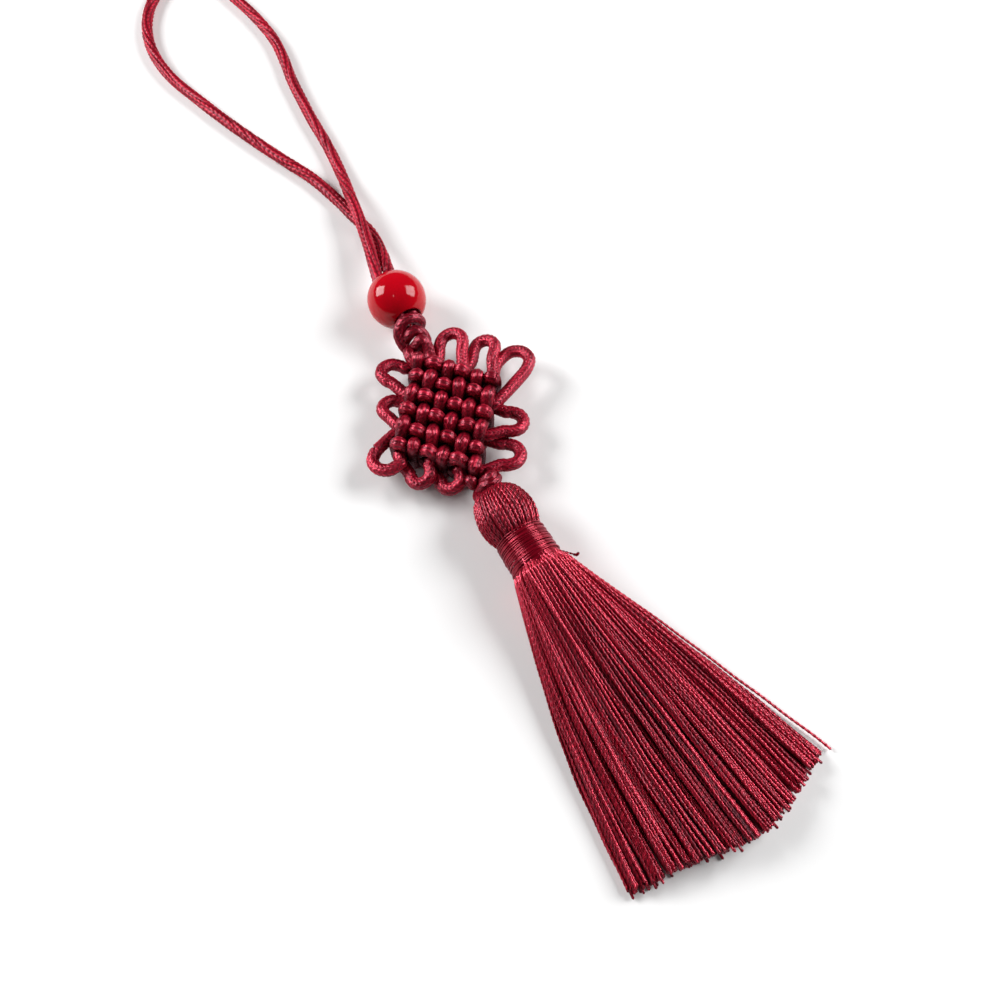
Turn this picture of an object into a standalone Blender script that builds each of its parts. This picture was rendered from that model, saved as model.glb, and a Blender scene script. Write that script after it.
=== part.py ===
"""Silk tassel pendant: hanging loop, bead, pan chang knot between two connection knots, bound tassel.

Everything is in metres. The pendant lies on the plane z = 0 with its front up, the tassel towards -Y and
the loop towards +Y. Shapes are worked out with the bead's centre above the origin, and the whole pendant
is shifted at the end so that the middle of its box, loop left out, stands on the origin.
"""

import math

import bmesh
import bpy
import numpy as np

# Cord
CORD = 0.0017  # the hanging loop's diameter
KNOT_CORD = 0.0018  # the same cord where it is bent loosely, in the ears and between the knots
STUB_CORD = 0.0016  # and where it is drawn tight, on its way into the bead and the tassel
LACED_WIDTH = 0.00140  # across a line of the lattice, where it is pressed flat
LACED_THICKNESS = 0.00112
STRAND_SPREAD = 0.00087  # each strand's distance from the middle of the pair
JOINT_GAP = 0.0003  # between pieces that meet

# Bead
BEAD_RADIUS = 0.0040
BORE_RADIUS = 0.00205
BEAD_FLAT = 0.00012  # how far the bead's underside is worn flat
BEAD_HEIGHT = BEAD_RADIUS - BEAD_FLAT

# Pan chang knot: its lattice of six columns and six rows
COLUMN_STEP = 0.00203
COLUMN_ANGLE = math.radians(-45.5)
ROW_STEP = 0.00257
ROW_ANGLE = math.radians(-128.3)
LATTICE_CENTRE = (-0.0022, -0.0197)
LINES = 6
LAYER = 0.00165  # height from one crossing line to the next
LEVEL_REACH = 0.00066  # how far a line stays level on each side of a crossing
KNOT_HEIGHT = 1.5 * LAYER + LACED_THICKNESS / 2  # the middle of the knot's four layers
FOLD_REACH = 0.00160  # how far a fold goes past the last line that it wraps
OUTWARD = {"top": math.radians(54), "right": math.radians(-38), "bottom": math.radians(-112), "left": math.radians(118)}

EAR_LEG = 0.22  # of its reach: how far an ear's cord runs straight out of the lattice
EAR_HIP = 0.52  # and where its two sides start to run level with each other
EAR_TWIST = 0.00055  # how far below and above the ear's middle its two sides run
EAR_POINT_SPACING = 0.00118

# One row for each ear, in the order in which a strand makes them
EAR_COLUMNS = ("reach", "angle", "belly")
FIRST_STRAND_EARS = (
    (0.0067, 56, 0.00140),
    (0.0066, 50, 0.00115),
    (0.0085, 26, 0.00165),
    (0.0052, -33, 0.00155),
    (0.0057, -33, 0.00140),
)
SECOND_STRAND_EARS = (
    (0.0056, 116, 0.00150),
    (0.0042, 114, 0.00150),
    (0.0052, -156, 0.00185),
    (0.0039, -99, 0.00118),
    (0.0036, -96, 0.00115),
)

# Connection knots: the turns that the strands take round each other, each a slanted ring of cord
TURN_COLUMNS = ("x", "y", "height", "half_width", "half_length", "half_height", "radius")
TURNS = (
    (-0.00040, -0.00495, 0.0037, 0.00150, 0.00075, 0.00170, 0.00085),
    (-0.00055, -0.00640, 0.0037, 0.00155, -0.00100, 0.00125, 0.00085),
    (-0.00050, -0.00755, 0.0037, 0.00150, 0.00085, 0.00165, 0.00085),
    (-0.00180, -0.03035, 0.0032, 0.00115, 0.00035, 0.00140, 0.00075),
    (-0.00160, -0.03090, 0.0032, 0.00120, -0.00030, 0.00125, 0.00075),
)

# Tassel
HEAD_TOP = (-0.0021, -0.0323)
TASSEL_LEAN = math.radians(2.5)
RIDGES = 42  # threads raised round the head and the root of the skirt
RIDGE_DEPTH = 0.00014
SECTION_COLUMNS = ("along", "aside", "half_width", "half_height", "height", "ridged")
TASSEL_SECTIONS = (
    (0.00160, 0, 0.00215, 0.00120, 0.0036, False),
    (0.00015, 0, 0.00215, 0.00120, 0.0036, False),
    (0.00000, 0, 0.00250, 0.00165, 0.0036, False),
    (0.00035, 0, 0.00310, 0.00280, 0.0037, True),
    (0.00120, 0, 0.00365, 0.00360, 0.0037, True),
    (0.00240, 0, 0.00395, 0.00395, 0.0037, True),
    (0.00380, 0, 0.00395, 0.00395, 0.0037, True),
    (0.00510, 0, 0.00365, 0.00365, 0.0037, True),
    (0.00605, 0, 0.00315, 0.00315, 0.0037, True),
    (0.00650, 0, 0.00275, 0.00275, 0.0036, False),
    (0.01220, 0, 0.00275, 0.00275, 0.0035, False),
    (0.01255, 0.00015, 0.00360, 0.00310, 0.0034, True),
    (0.01480, 0.00045, 0.00475, 0.00265, 0.0032, True),
)
NECK_ROWS = (9, 10)  # where the neck starts and ends
SKIRT_RINGS = 7  # rings of threads across the root: 6 x 7 x 7 strands
STRAND_RADIUS = 0.00021
STRAND_INSET = 0.74
SKIRT_LEFT, SKIRT_RIGHT = -0.0109, 0.0167
OUTERMOST = 0.95  # where the outermost strands start, as a share of the root's half width
SKIRT_END = -0.0830
SKIRT_END_SLANT, SKIRT_END_BOW = 0.0015, 0.0024
PILE_HEIGHT = 0.0024  # half the pile's height in the middle of the skirt's end
BEND_AT = 0.45  # where along a strand it has come down to the surface
STRAND_BULGE = (-0.0002, 0.0008)  # sideways at the bend: in the middle, and its change from there to the right edge
RAGGED = 0.0007
STRAY_TIP = (0.0180, -0.0794)

# Binding
BINDING_FROM, BINDING_TO = 0.00680, 0.01205  # along the tassel
BINDING_WALL = 0.00027
BINDING_TURNS = 8
BINDING_RIDGE = 0.00010
BINDING_SIDES = 24
THREAD_END = ((0.0016, -0.0434, 0.0036), (0.0028, -0.0443, 0.0037), (0.0036, -0.0447, 0.0035))
THREAD_END_RADIUS = 0.00018

# The hanging loop's route, from one end in the bead's bore round to the other
LOOP_REST = CORD / 2 + 0.00002
LOOP_ROUTE = (
    (-STRAND_SPREAD, 0.00015, BEAD_HEIGHT),
    (-0.00090, 0.0037, BEAD_HEIGHT),
    (-0.00036, 0.0066, 0.0039),
    (0.00040, 0.0097, 0.0036),
    (0.00100, 0.0127, 0.0032),
    (0.00142, 0.0152, 0.00295),
    (0.00170, 0.0172, 0.00289),
    (0.00200, 0.0194, 0.0027),
    (0.00240, 0.0219, 0.0021),
    (0.00295, 0.0253, 0.0012),
    (0.0034, 0.0295, LOOP_REST),
    (0.0036, 0.0339, LOOP_REST),
    (0.0036, 0.0384, LOOP_REST),
    (0.0038, 0.0430, LOOP_REST),
    (0.0041, 0.0476, LOOP_REST),
    (0.0047, 0.0521, LOOP_REST),
    (0.0050, 0.0569, LOOP_REST),
    (0.0044, 0.0623, LOOP_REST),
    (0.0031, 0.0681, LOOP_REST),
    (0.0015, 0.0732, LOOP_REST),
    (-0.0014, 0.0768, LOOP_REST),
    (-0.0055, 0.0773, LOOP_REST),
    (-0.0090, 0.0748, LOOP_REST),
    (-0.0116, 0.0708, LOOP_REST),
    (-0.0130, 0.0664, LOOP_REST),
    (-0.0133, 0.0617, LOOP_REST),
    (-0.0125, 0.0564, LOOP_REST),
    (-0.0106, 0.0507, LOOP_REST),
    (-0.0085, 0.0449, LOOP_REST),
    (-0.0061, 0.0390, LOOP_REST),
    (-0.0036, 0.0333, LOOP_REST),
    (-0.0011, 0.0278, LOOP_REST),
    (0.00060, 0.0222, LOOP_REST),
    (0.00125, 0.0192, LOOP_REST),
    (0.00178, 0.0171, 0.00088),
    (0.00222, 0.0150, 0.00115),
    (0.00225, 0.0123, 0.0018),
    (0.00176, 0.0085, 0.0029),
    (0.00090, 0.0037, 0.00384),
    (STRAND_SPREAD, 0.00015, BEAD_HEIGHT),
)
LOOP_POINT_SPACING = 0.0037

UP = np.array([0.0, 0.0, 1.0])


def named(columns, row):
    """The row as a dictionary under the table's column names."""
    return dict(zip(columns, row))


def heading(angle):
    """The level unit vector at this angle from +X."""
    return np.array([math.cos(angle), math.sin(angle), 0.0])


def smooth_route(route, spacing):
    """Points about this far apart on the Catmull-Rom curve through the route."""
    route = np.array(route, float)
    ends = np.vstack([2 * route[0] - route[1], route, 2 * route[-1] - route[-2]])
    t = np.linspace(0, 1, 12, endpoint=False)[:, None]
    stretches = [
        0.5 * (2 * b + (c - a) * t + (2 * a - 5 * b + 4 * c - d) * t**2 + (3 * b - a - 3 * c + d) * t**3)
        for a, b, c, d in zip(ends, ends[1:], ends[2:], ends[3:])
    ]
    fine = np.vstack(stretches + [route[-1:]])
    along = np.r_[0, np.cumsum(np.linalg.norm(np.diff(fine, axis=0), axis=1))]
    at = np.linspace(0, along[-1], round(along[-1] / spacing) + 1)
    return np.stack([np.interp(at, along, fine[:, axis]) for axis in range(3)], axis=1)


def cord_frames(points):
    """For each point of a path, the level direction across it and the direction square to both.

    Where the path runs straight up or down, as at a fold, the direction across is kept from the point before.
    """
    along = np.gradient(points, axis=0)
    along /= np.linalg.norm(along, axis=1)[:, None]
    across = np.zeros_like(points)
    kept = np.cross(UP, along[0])
    for index, forward in enumerate(along):
        level = np.cross(UP, forward)
        if np.linalg.norm(level) > 0.25:
            kept = level if level @ kept >= 0 else -level
        kept = kept - forward * (kept @ forward)
        kept /= np.linalg.norm(kept)
        across[index] = kept
    return across, np.cross(along, across)


def closed_tube(bm, points, widths, thicknesses, sides=6):
    """A cord of this width and thickness at each point, with flat ends. Its top and bottom are flats."""
    across, normal = cord_frames(points)
    turn = 2 * math.pi * np.arange(sides) / sides
    wide = np.cos(turn)
    high = np.sin(turn) / np.sin(turn).max()
    rings = []
    for centre, side, up, width, thickness in zip(points, across, normal, widths, thicknesses):
        corners = centre + np.outer(wide * width / 2, side) + np.outer(high * thickness / 2, up)
        rings.append([bm.verts.new(corner) for corner in corners])
    join_rings(bm, rings)
    bm.faces.new(rings[0])
    bm.faces.new(rings[-1])


def join_rings(bm, rings):
    """Quads from each ring of vertices to the next."""
    for lower, upper in zip(rings, rings[1:]):
        for index, vertex in enumerate(lower):
            after = (index + 1) % len(lower)
            bm.faces.new((vertex, lower[after], upper[after], upper[index]))


def lattice_point(column, row, height):
    """The point over this column and row, which need not be whole numbers."""
    middle = (LINES + 1) / 2
    level = (column - middle) * COLUMN_STEP * heading(COLUMN_ANGLE) + (row - middle) * ROW_STEP * heading(ROW_ANGLE)
    return level + np.array([*LATTICE_CENTRE, height])


def lattice_line(kind, line, start, end, face):
    """A front (face 1) or back (face -1) line, passing over and under the crossing lines like plain weave."""
    points = []
    way = 1 if end > start else -1
    level = LEVEL_REACH / (ROW_STEP if kind == "column" else COLUMN_STEP)
    for crossing in range(start, end + way, way):
        outside = (line + crossing) % 2 == (0 if kind == "column" else 1)
        height = KNOT_HEIGHT + face * LAYER * (1.5 if outside else 0.5)
        for at in np.clip([crossing - way * level, crossing + way * level], 1, LINES):
            points.append(lattice_point(*((line, at) if kind == "column" else (at, line)), height))
    return points


def bight(kind, line, home, far):
    """One doubled line: out along the front, a fold on past the far side, and home along the back."""
    front = lattice_line(kind, line, home, far, 1)
    back = lattice_line(kind, line, far, home, -1)
    middle = (front[-1] + back[0]) / 2
    rise = front[-1] - middle
    outward = heading(ROW_ANGLE if kind == "column" else COLUMN_ANGLE) * (FOLD_REACH if far > home else -FOLD_REACH)
    fold = [middle + rise * math.cos(turn) + outward * math.sin(turn) for turn in np.linspace(0, math.pi, 7)[1:-1]]
    return front + fold + back


def ear(leaving, arriving, out, back_in, row):
    """The loop from the end of one bight to the start of the next, through two shoulders and a tip."""
    sizes = named(EAR_COLUMNS, row)
    middle = (leaving + arriving) / 2
    forward = heading(math.radians(sizes["angle"]))
    aside = np.cross(UP, forward)
    aside = aside if aside @ (leaving - arriving) > 0 else -aside
    bend = middle + forward * (sizes["reach"] - sizes["belly"])
    tip = [
        bend + sizes["belly"] * (math.cos(turn) * aside + math.sin(turn) * forward) - math.cos(turn) * EAR_TWIST * UP
        for turn in np.linspace(0, math.pi, 5)
    ]
    hip = middle + forward * sizes["reach"] * EAR_HIP
    out_of_line = sizes["belly"] * aside - EAR_TWIST * UP
    route = [
        leaving,
        leaving + heading(OUTWARD[out]) * sizes["reach"] * EAR_LEG,
        hip + out_of_line,
        *tip,
        hip - out_of_line,
        arriving + heading(OUTWARD[back_in]) * sizes["reach"] * EAR_LEG,
        arriving,
    ]
    return list(smooth_route(route, EAR_POINT_SPACING)[1:-1])


def strand_path(bights, sides, ear_rows):
    """A strand's way through the lattice: its six bights and the five ears between them.

    With each point comes how flat the cord is pressed there: 1 in the lattice, 0 where it is round.
    """
    points, pressed = [], []
    runs = [bight(*each) for each in bights]
    for index, run in enumerate(runs):
        points += run
        pressed += [1.0] * len(run)
        if index < len(ear_rows):
            loop = ear(run[-1], runs[index + 1][0], *sides[index], ear_rows[index])
            points += loop
            from_lattice = np.minimum(np.arange(len(loop)), np.arange(len(loop))[::-1])
            pressed += list(np.clip(1.2 - 0.3 * from_lattice, 0, 1))
    return points, pressed


def turn_ring(sizes):
    """The middle of a turn's cord, all the way round."""
    turn = np.linspace(0, 2 * math.pi, 15)[:-1]
    x = sizes["half_width"] * np.cos(turn)
    y = -sizes["half_length"] * np.cos(turn)
    z = sizes["half_height"] * np.sin(turn)
    return np.stack([x, y, z], axis=1) + [sizes["x"], sizes["y"], sizes["height"]]


def ring_mesh(bm, centres, radius, sides=6):
    """A closed ring of cord along these points."""
    forward = np.roll(centres, -1, axis=0) - np.roll(centres, 1, axis=0)
    outward = centres - centres.mean(axis=0)
    rings = []
    for centre, along, out in zip(centres, forward, outward):
        square = np.cross(along, out)
        square /= np.linalg.norm(square)
        out = np.cross(square, along)
        out /= np.linalg.norm(out)
        turns = 2 * math.pi * np.arange(sides) / sides
        rings.append([bm.verts.new(centre + radius * (math.cos(a) * out + math.sin(a) * square)) for a in turns])
    join_rings(bm, rings + rings[:1])


def tassel_point(along, aside, height):
    """The point this far down the tassel's axis and to its side."""
    forward = np.array([math.sin(TASSEL_LEAN), -math.cos(TASSEL_LEAN), 0.0])
    side = np.array([math.cos(TASSEL_LEAN), math.sin(TASSEL_LEAN), 0.0])
    return np.array([*HEAD_TOP, height]) + along * forward + aside * side


def disc_cells():
    """The triangles of a disc of SKIRT_RINGS rings, as (ring, place) corners. Ring 0 is the middle point."""
    cells = []
    for ring in range(1, SKIRT_RINGS + 1):
        for sector in range(6):
            outer, inner = sector * ring, sector * (ring - 1)
            for step in range(ring):
                first, second = (ring, (outer + step) % (6 * ring)), (ring, (outer + step + 1) % (6 * ring))
                tip = (ring - 1, (inner + step) % max(1, 6 * (ring - 1)))
                cells.append((first, second, tip))
                if step < ring - 1:
                    cells.append((second, (ring - 1, (inner + step + 1) % (6 * (ring - 1))), tip))
    return cells


def disc_place(ring, place):
    """Where a corner of the disc lies, with the disc's radius as 1."""
    turn = 2 * math.pi * place / max(1, 6 * ring)
    return np.array([math.cos(turn), math.sin(turn)]) * ring / SKIRT_RINGS


def skirt_centres(root, u, v, reach, drop):
    """A strand's middle at its bend and at its tip, for its place (u, v) in the root.

    The root's disc opens into a pile on the surface: as wide as the skirt, and highest in its middle.
    """
    spread = 2 / math.pi * math.asin(min(1.0, max(-1.0, u / OUTERMOST)))
    bow = math.sqrt(1 - u * u)
    pile = max(0.0, (v + bow) * bow - 0.06) * PILE_HEIGHT
    tip_x = (SKIRT_LEFT + SKIRT_RIGHT) / 2 + spread * (SKIRT_RIGHT - SKIRT_LEFT) / 2
    tip_y = SKIRT_END + SKIRT_END_SLANT * spread + SKIRT_END_BOW * spread**2 + reach
    tip = np.array([tip_x, tip_y, drop + pile])
    bend = root + (tip - root) * BEND_AT
    bend[0] += STRAND_BULGE[0] + STRAND_BULGE[1] * spread
    bend[2] = drop + pile * 1.04
    return bend, tip


def add_strand(bm, corners, u, v, reach, tip_shift):
    """A three-sided strand from a cell of the root, which keeps the way round in which the cell points."""
    middle = sum(corners) / 3
    inset = [bm.verts.new(middle + STRAND_INSET * (corner - middle)) for corner in corners]
    angles = [math.atan2(corner[2] - middle[2], corner[0] - middle[0]) for corner in corners]
    first = angles[0]
    turn_way = 1 if (angles[1] - first) % (2 * math.pi) < math.pi else -1
    offsets = [first + turn_way * 2 * math.pi * k / 3 for k in range(3)]
    level = [STRAND_RADIUS * np.array([math.cos(a), 0, math.sin(a)]) for a in offsets]
    drop = -min(offset[2] for offset in level)
    bend, tip = skirt_centres(middle, u, v, reach, drop)
    tip = tip + tip_shift
    rings = [inset]
    for centre in (bend, tip):
        rings.append([bm.verts.new(centre + offset) for offset in level])
    join_rings(bm, rings)
    bm.faces.new(rings[-1])
    return inset


def section_ring(bm, section):
    """One ring of the tassel's body, with every second vertex sunk between two threads where it is ridged."""
    row = named(SECTION_COLUMNS, section)
    ring = []
    for index in range(2 * RIDGES):
        turn = math.pi * index / RIDGES
        sunk = RIDGE_DEPTH if row["ridged"] and index % 2 else 0.0
        aside = row["aside"] + (row["half_width"] - sunk) * math.cos(turn)
        height = row["height"] + (row["half_height"] - sunk) * math.sin(turn)
        ring.append(bm.verts.new(tassel_point(row["along"], aside, max(0.0, height))))
    return ring


def build_tassel():
    """The folded hank: head with its socket, neck, root and the strands that grow from the root's end."""
    bm = bmesh.new()
    rings = [section_ring(bm, section) for section in TASSEL_SECTIONS]
    join_rings(bm, rings)
    bm.faces.new(rings[0])
    last = named(SECTION_COLUMNS, TASSEL_SECTIONS[-1])
    inner = {}
    for ring in range(SKIRT_RINGS):
        for place in range(max(1, 6 * ring)):
            u, v = disc_place(ring, place)
            height = last["height"] + v * last["half_height"]
            aside = last["aside"] + u * last["half_width"]
            inner[ring, place] = bm.verts.new(tassel_point(last["along"], aside, height))
    for place in range(RIDGES):
        inner[SKIRT_RINGS, place] = rings[-1][2 * place]
    uneven = np.random.default_rng(7)
    cells = disc_cells()
    right_most = max(range(len(cells)), key=lambda at: sum(disc_place(*corner)[0] for corner in cells[at]))
    for at, cell in enumerate(cells):
        u, v = sum(disc_place(*corner) for corner in cell) / 3
        corners = [np.array(inner[corner].co) for corner in cell]
        reach = uneven.uniform(-RAGGED, RAGGED)
        shift = np.zeros(3)
        if at == right_most:
            shift[0] = STRAY_TIP[0] - SKIRT_RIGHT
        inset = add_strand(bm, corners, u, v, reach, shift)
        for step in range(3):
            ends = [cell[step], cell[(step + 1) % 3]]
            edge = [inner[end] for end in ends]
            if ends[0][0] == ends[1][0] == SKIRT_RINGS:
                edge.insert(1, rings[-1][2 * ends[0][1] + 1])
            bm.faces.new([*edge, inset[(step + 1) % 3], inset[step]])
    return bm


def build_binding():
    """The wound sleeve round the neck, with one ridge for each bundle of turns."""
    bm = bmesh.new()
    first, last = (named(SECTION_COLUMNS, TASSEL_SECTIONS[row]) for row in NECK_ROWS)
    inner = first["half_width"] + JOINT_GAP
    alongs = np.linspace(BINDING_FROM, BINDING_TO, 2 * BINDING_TURNS + 1)
    profile = [(alongs[0], inner)]
    for index, along in enumerate(alongs):
        profile.append((along, inner + BINDING_WALL + BINDING_RIDGE * (index % 2)))
    profile.append((alongs[-1], inner))
    rings = []
    for along, radius in profile:
        share = (along - first["along"]) / (last["along"] - first["along"])
        height = first["height"] + share * (last["height"] - first["height"])
        turns = 2 * math.pi * np.arange(BINDING_SIDES) / BINDING_SIDES
        rings.append([bm.verts.new(tassel_point(along, radius * math.cos(a), height + radius * math.sin(a))) for a in turns])
    join_rings(bm, rings + rings[:1])
    return bm


def build_bead():
    """A ball turned about the bore's axis, with a small flat worn underneath."""
    bm = bmesh.new()
    edge = math.asin(BORE_RADIUS / BEAD_RADIUS)
    turns = np.linspace(edge, math.pi - edge, 13)
    profile = [bm.verts.new((BEAD_RADIUS * math.sin(a), BEAD_RADIUS * math.cos(a), 0)) for a in turns]
    edges = [bm.edges.new(pair) for pair in zip(profile, profile[1:] + profile[:1])]
    bmesh.ops.spin(
        bm, geom=profile + edges, cent=(0, 0, 0), axis=(0, 1, 0), dvec=(0, 0, 0), angle=2 * math.pi, steps=28
    )
    bmesh.ops.remove_doubles(bm, verts=bm.verts[:], dist=1e-7)
    cut = bmesh.ops.bisect_plane(
        bm,
        geom=bm.verts[:] + bm.edges[:] + bm.faces[:],
        plane_co=(0, 0, -BEAD_HEIGHT),
        plane_no=(0, 0, -1),
        clear_outer=True,
    )
    rim = [piece for piece in cut["geom_cut"] if isinstance(piece, bmesh.types.BMEdge)]
    bmesh.ops.edgeloop_fill(bm, edges=rim)
    bmesh.ops.translate(bm, verts=bm.verts[:], vec=(0, 0, BEAD_HEIGHT))
    return bm


def strand_mesh(points, pressed, free):
    """A strand's tube, this thick where it isn't pressed flat."""
    bm = bmesh.new()
    widths = free + (LACED_WIDTH - free) * pressed
    thicknesses = free + (LACED_THICKNESS - free) * pressed
    closed_tube(bm, np.array(points), widths, thicknesses)
    return bm


def knot_strands():
    """Both strands of the knot cord, from the bead's bore to the head's socket."""
    columns_and_rows = [("column", line, 1, LINES) for line in (2, 4, 6)]
    columns_and_rows += [("row", line, LINES, 1) for line in (2, 4, 6)]
    first_sides = [("top", "top"), ("top", "top"), ("top", "right"), ("right", "right"), ("right", "right")]
    rows_and_columns = [("row", line, 1, LINES) for line in (1, 3, 5)]
    rows_and_columns += [("column", line, LINES, 1) for line in (1, 3, 5)]
    second_sides = [("left", "left"), ("left", "left"), ("left", "bottom"), ("bottom", "bottom"), ("bottom", "bottom")]
    socket_x, socket_y = HEAD_TOP
    strands = []
    for bights, sides, ears, side, way_in, way_out in (
        (
            columns_and_rows,
            first_sides,
            FIRST_STRAND_EARS,
            1,
            [(0.00060, -0.0080, 0.0036), (0.00033, -0.0094, 0.0038), (0.00035, -0.0109, 0.0040)],
            [(-0.00150, -0.0292, 0.0021), (-0.00100, -0.0303, 0.0021), (-0.00115, -0.0313, 0.0029)],
        ),
        (
            rows_and_columns,
            second_sides,
            SECOND_STRAND_EARS,
            -1,
            [(-0.00190, -0.0077, 0.0036), (-0.00262, -0.0093, 0.0039)],
            [(-0.00435, -0.0282, 0.0019), (-0.00375, -0.0296, 0.0019), (-0.00315, -0.0309, 0.0028)],
        ),
    ):
        points, pressed = strand_path(bights, sides, ears)
        entry = smooth_route(
            [
                (side * STRAND_SPREAD, -0.00015, BEAD_HEIGHT),
                (side * STRAND_SPREAD, -0.0030, BEAD_HEIGHT),
                (side * STRAND_SPREAD - 0.0002, -0.0050, 0.0036),
                *way_in,
                points[0],
            ],
            0.0014,
        )[:-1]
        ends = smooth_route(
            [
                points[-1],
                *way_out,
                (socket_x + side * STRAND_SPREAD, socket_y + 0.0002, 0.0036),
                (socket_x + side * STRAND_SPREAD, socket_y - 0.00125, 0.0036),
            ],
            0.0012,
        )[1:]
        free = np.r_[np.full(len(entry), STUB_CORD), np.full(len(points), KNOT_CORD), np.full(len(ends), STUB_CORD)]
        squeeze = np.r_[np.zeros(len(entry)), pressed, np.zeros(len(ends))]
        strands.append(strand_mesh([*entry, *points, *ends], squeeze, free))
    return strands


def satin(name, colour, roughness, sheen=0.0):
    """A plain material of this colour."""
    material = bpy.data.materials.new(name)
    material.use_nodes = True
    shader = material.node_tree.nodes["Principled BSDF"]
    shader.inputs["Base Color"].default_value = (*colour, 1)
    shader.inputs["Roughness"].default_value = roughness
    shader.inputs["Metallic"].default_value = 0.0
    shader.inputs["Sheen Weight"].default_value = sheen
    return material


def place(name, data, material, parent, helper=False):
    """An object in the scene, under the pendant's empty. A helper is a piece that a Boolean joins to another."""
    obj = bpy.data.objects.new(name, data)
    bpy.context.scene.collection.objects.link(obj)
    obj.data.materials.append(material)
    obj.parent = parent
    if helper:
        obj.hide_render = True
        obj.display_type = "WIRE"
    return obj


def place_mesh(name, bm, material, parent, smooth=None, helper=False):
    """The bmesh as an object, its faces turned outwards, shaded smooth up to this angle."""
    bmesh.ops.recalc_face_normals(bm, faces=bm.faces[:])
    mesh = bpy.data.meshes.new(name)
    bm.to_mesh(mesh)
    bm.free()
    if smooth is not None:
        mesh.shade_smooth()
        mesh.set_sharp_from_angle(angle=math.radians(smooth))
    return place(name, mesh, material, parent, helper)


def join(obj, others):
    """Fuses these helpers into the object."""
    for other in others:
        union = obj.modifiers.new(other.name, "BOOLEAN")
        union.operation = "UNION"
        union.solver = "MANIFOLD"
        union.object = other


def place_loop(material, parent):
    """The hanging loop: one free cord, both ends in the bead's bore."""
    curve = bpy.data.curves.new("hanging_loop", "CURVE")
    curve.dimensions = "3D"
    curve.bevel_depth = CORD / 2
    curve.bevel_resolution = 2
    curve.use_fill_caps = True
    route = smooth_route(LOOP_ROUTE, LOOP_POINT_SPACING)
    spline = curve.splines.new("POLY")
    spline.points.add(len(route) - 1)
    for point, at in zip(spline.points, route):
        point.co = (*at, 1)
    return place("hanging_loop", curve, material, parent)


def stand_on_origin(parent, pieces):
    """Moves the pendant so that the middle of the box round these pieces stands on the origin."""
    bpy.context.view_layer.update()
    graph = bpy.context.evaluated_depsgraph_get()
    corners = np.array([corner[:] for piece in pieces for corner in piece.evaluated_get(graph).bound_box])
    low, high = corners.min(axis=0), corners.max(axis=0)
    parent.location = (-(low[0] + high[0]) / 2, -(low[1] + high[1]) / 2, -low[2])


def main():
    for obj in list(bpy.data.objects):
        bpy.data.objects.remove(obj, do_unlink=True)
    pendant = bpy.data.objects.new("pendant", None)
    bpy.context.scene.collection.objects.link(pendant)

    crimson = satin("braided_cord", (0.30, 0.006, 0.035), 0.45, sheen=0.3)
    bead_red = satin("bead_red", (0.60, 0.005, 0.012), 0.08)
    thread = satin("tassel_thread", (0.27, 0.005, 0.030), 0.42, sheen=0.3)
    wound = satin("binding_thread", (0.34, 0.008, 0.040), 0.33, sheen=0.2)

    place_loop(crimson, pendant)
    bead = place_mesh("bead", build_bead(), bead_red, pendant, smooth=40)

    first, second = knot_strands()
    knot_cord = place_mesh("knot_cord", first, crimson, pendant, smooth=60)
    fused = [place_mesh("second_strand", second, crimson, pendant, helper=True)]
    for number, row in enumerate(TURNS, 1):
        sizes = named(TURN_COLUMNS, row)
        bm = bmesh.new()
        ring_mesh(bm, turn_ring(sizes), sizes["radius"])
        fused.append(place_mesh(f"turn_{number}", bm, crimson, pendant, helper=True))
    join(knot_cord, fused)

    tassel = place_mesh("tassel", build_tassel(), thread, pendant, smooth=35)

    binding = place_mesh("neck_binding", build_binding(), wound, pendant, smooth=60)
    bm = bmesh.new()
    loose_end = smooth_route(THREAD_END, 0.0006)
    sizes = np.full(len(loose_end), 2 * THREAD_END_RADIUS)
    closed_tube(bm, loose_end, sizes, sizes, sides=4)
    join(binding, [place_mesh("thread_end", bm, wound, pendant, helper=True)])

    stand_on_origin(pendant, (bead, knot_cord, tassel, binding))


main()
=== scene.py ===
"""Silk tassel pendant: braided cords, glossy bead, knotted cord, twisted tassel threads and their studio.

All sizes are in metres, but for the tables given to mm. Routes are given from the middle of the bead's
underside, the tassel towards -Y and the loop towards +Y, and every piece is shifted from there to where the
frame has the bead.
"""

import math

import bpy
import numpy as np
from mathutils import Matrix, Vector


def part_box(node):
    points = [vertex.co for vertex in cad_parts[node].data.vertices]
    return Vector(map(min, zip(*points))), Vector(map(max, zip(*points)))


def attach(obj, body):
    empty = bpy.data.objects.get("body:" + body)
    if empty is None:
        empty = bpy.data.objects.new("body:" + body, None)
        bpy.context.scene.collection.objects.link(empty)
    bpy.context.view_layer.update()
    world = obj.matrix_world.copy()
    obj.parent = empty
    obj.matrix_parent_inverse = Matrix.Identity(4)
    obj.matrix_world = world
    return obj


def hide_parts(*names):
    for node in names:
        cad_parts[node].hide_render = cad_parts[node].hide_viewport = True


bl_info = {
    "name": "Silk Tassel Pendant",
    "version": (1, 0, 0),
    "blender": (4, 5, 0),
    "location": "View3D > Sidebar > Tassel",
    "description": "Builds a knotted silk tassel pendant thread by thread",
    "category": "Add Mesh",
}

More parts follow.
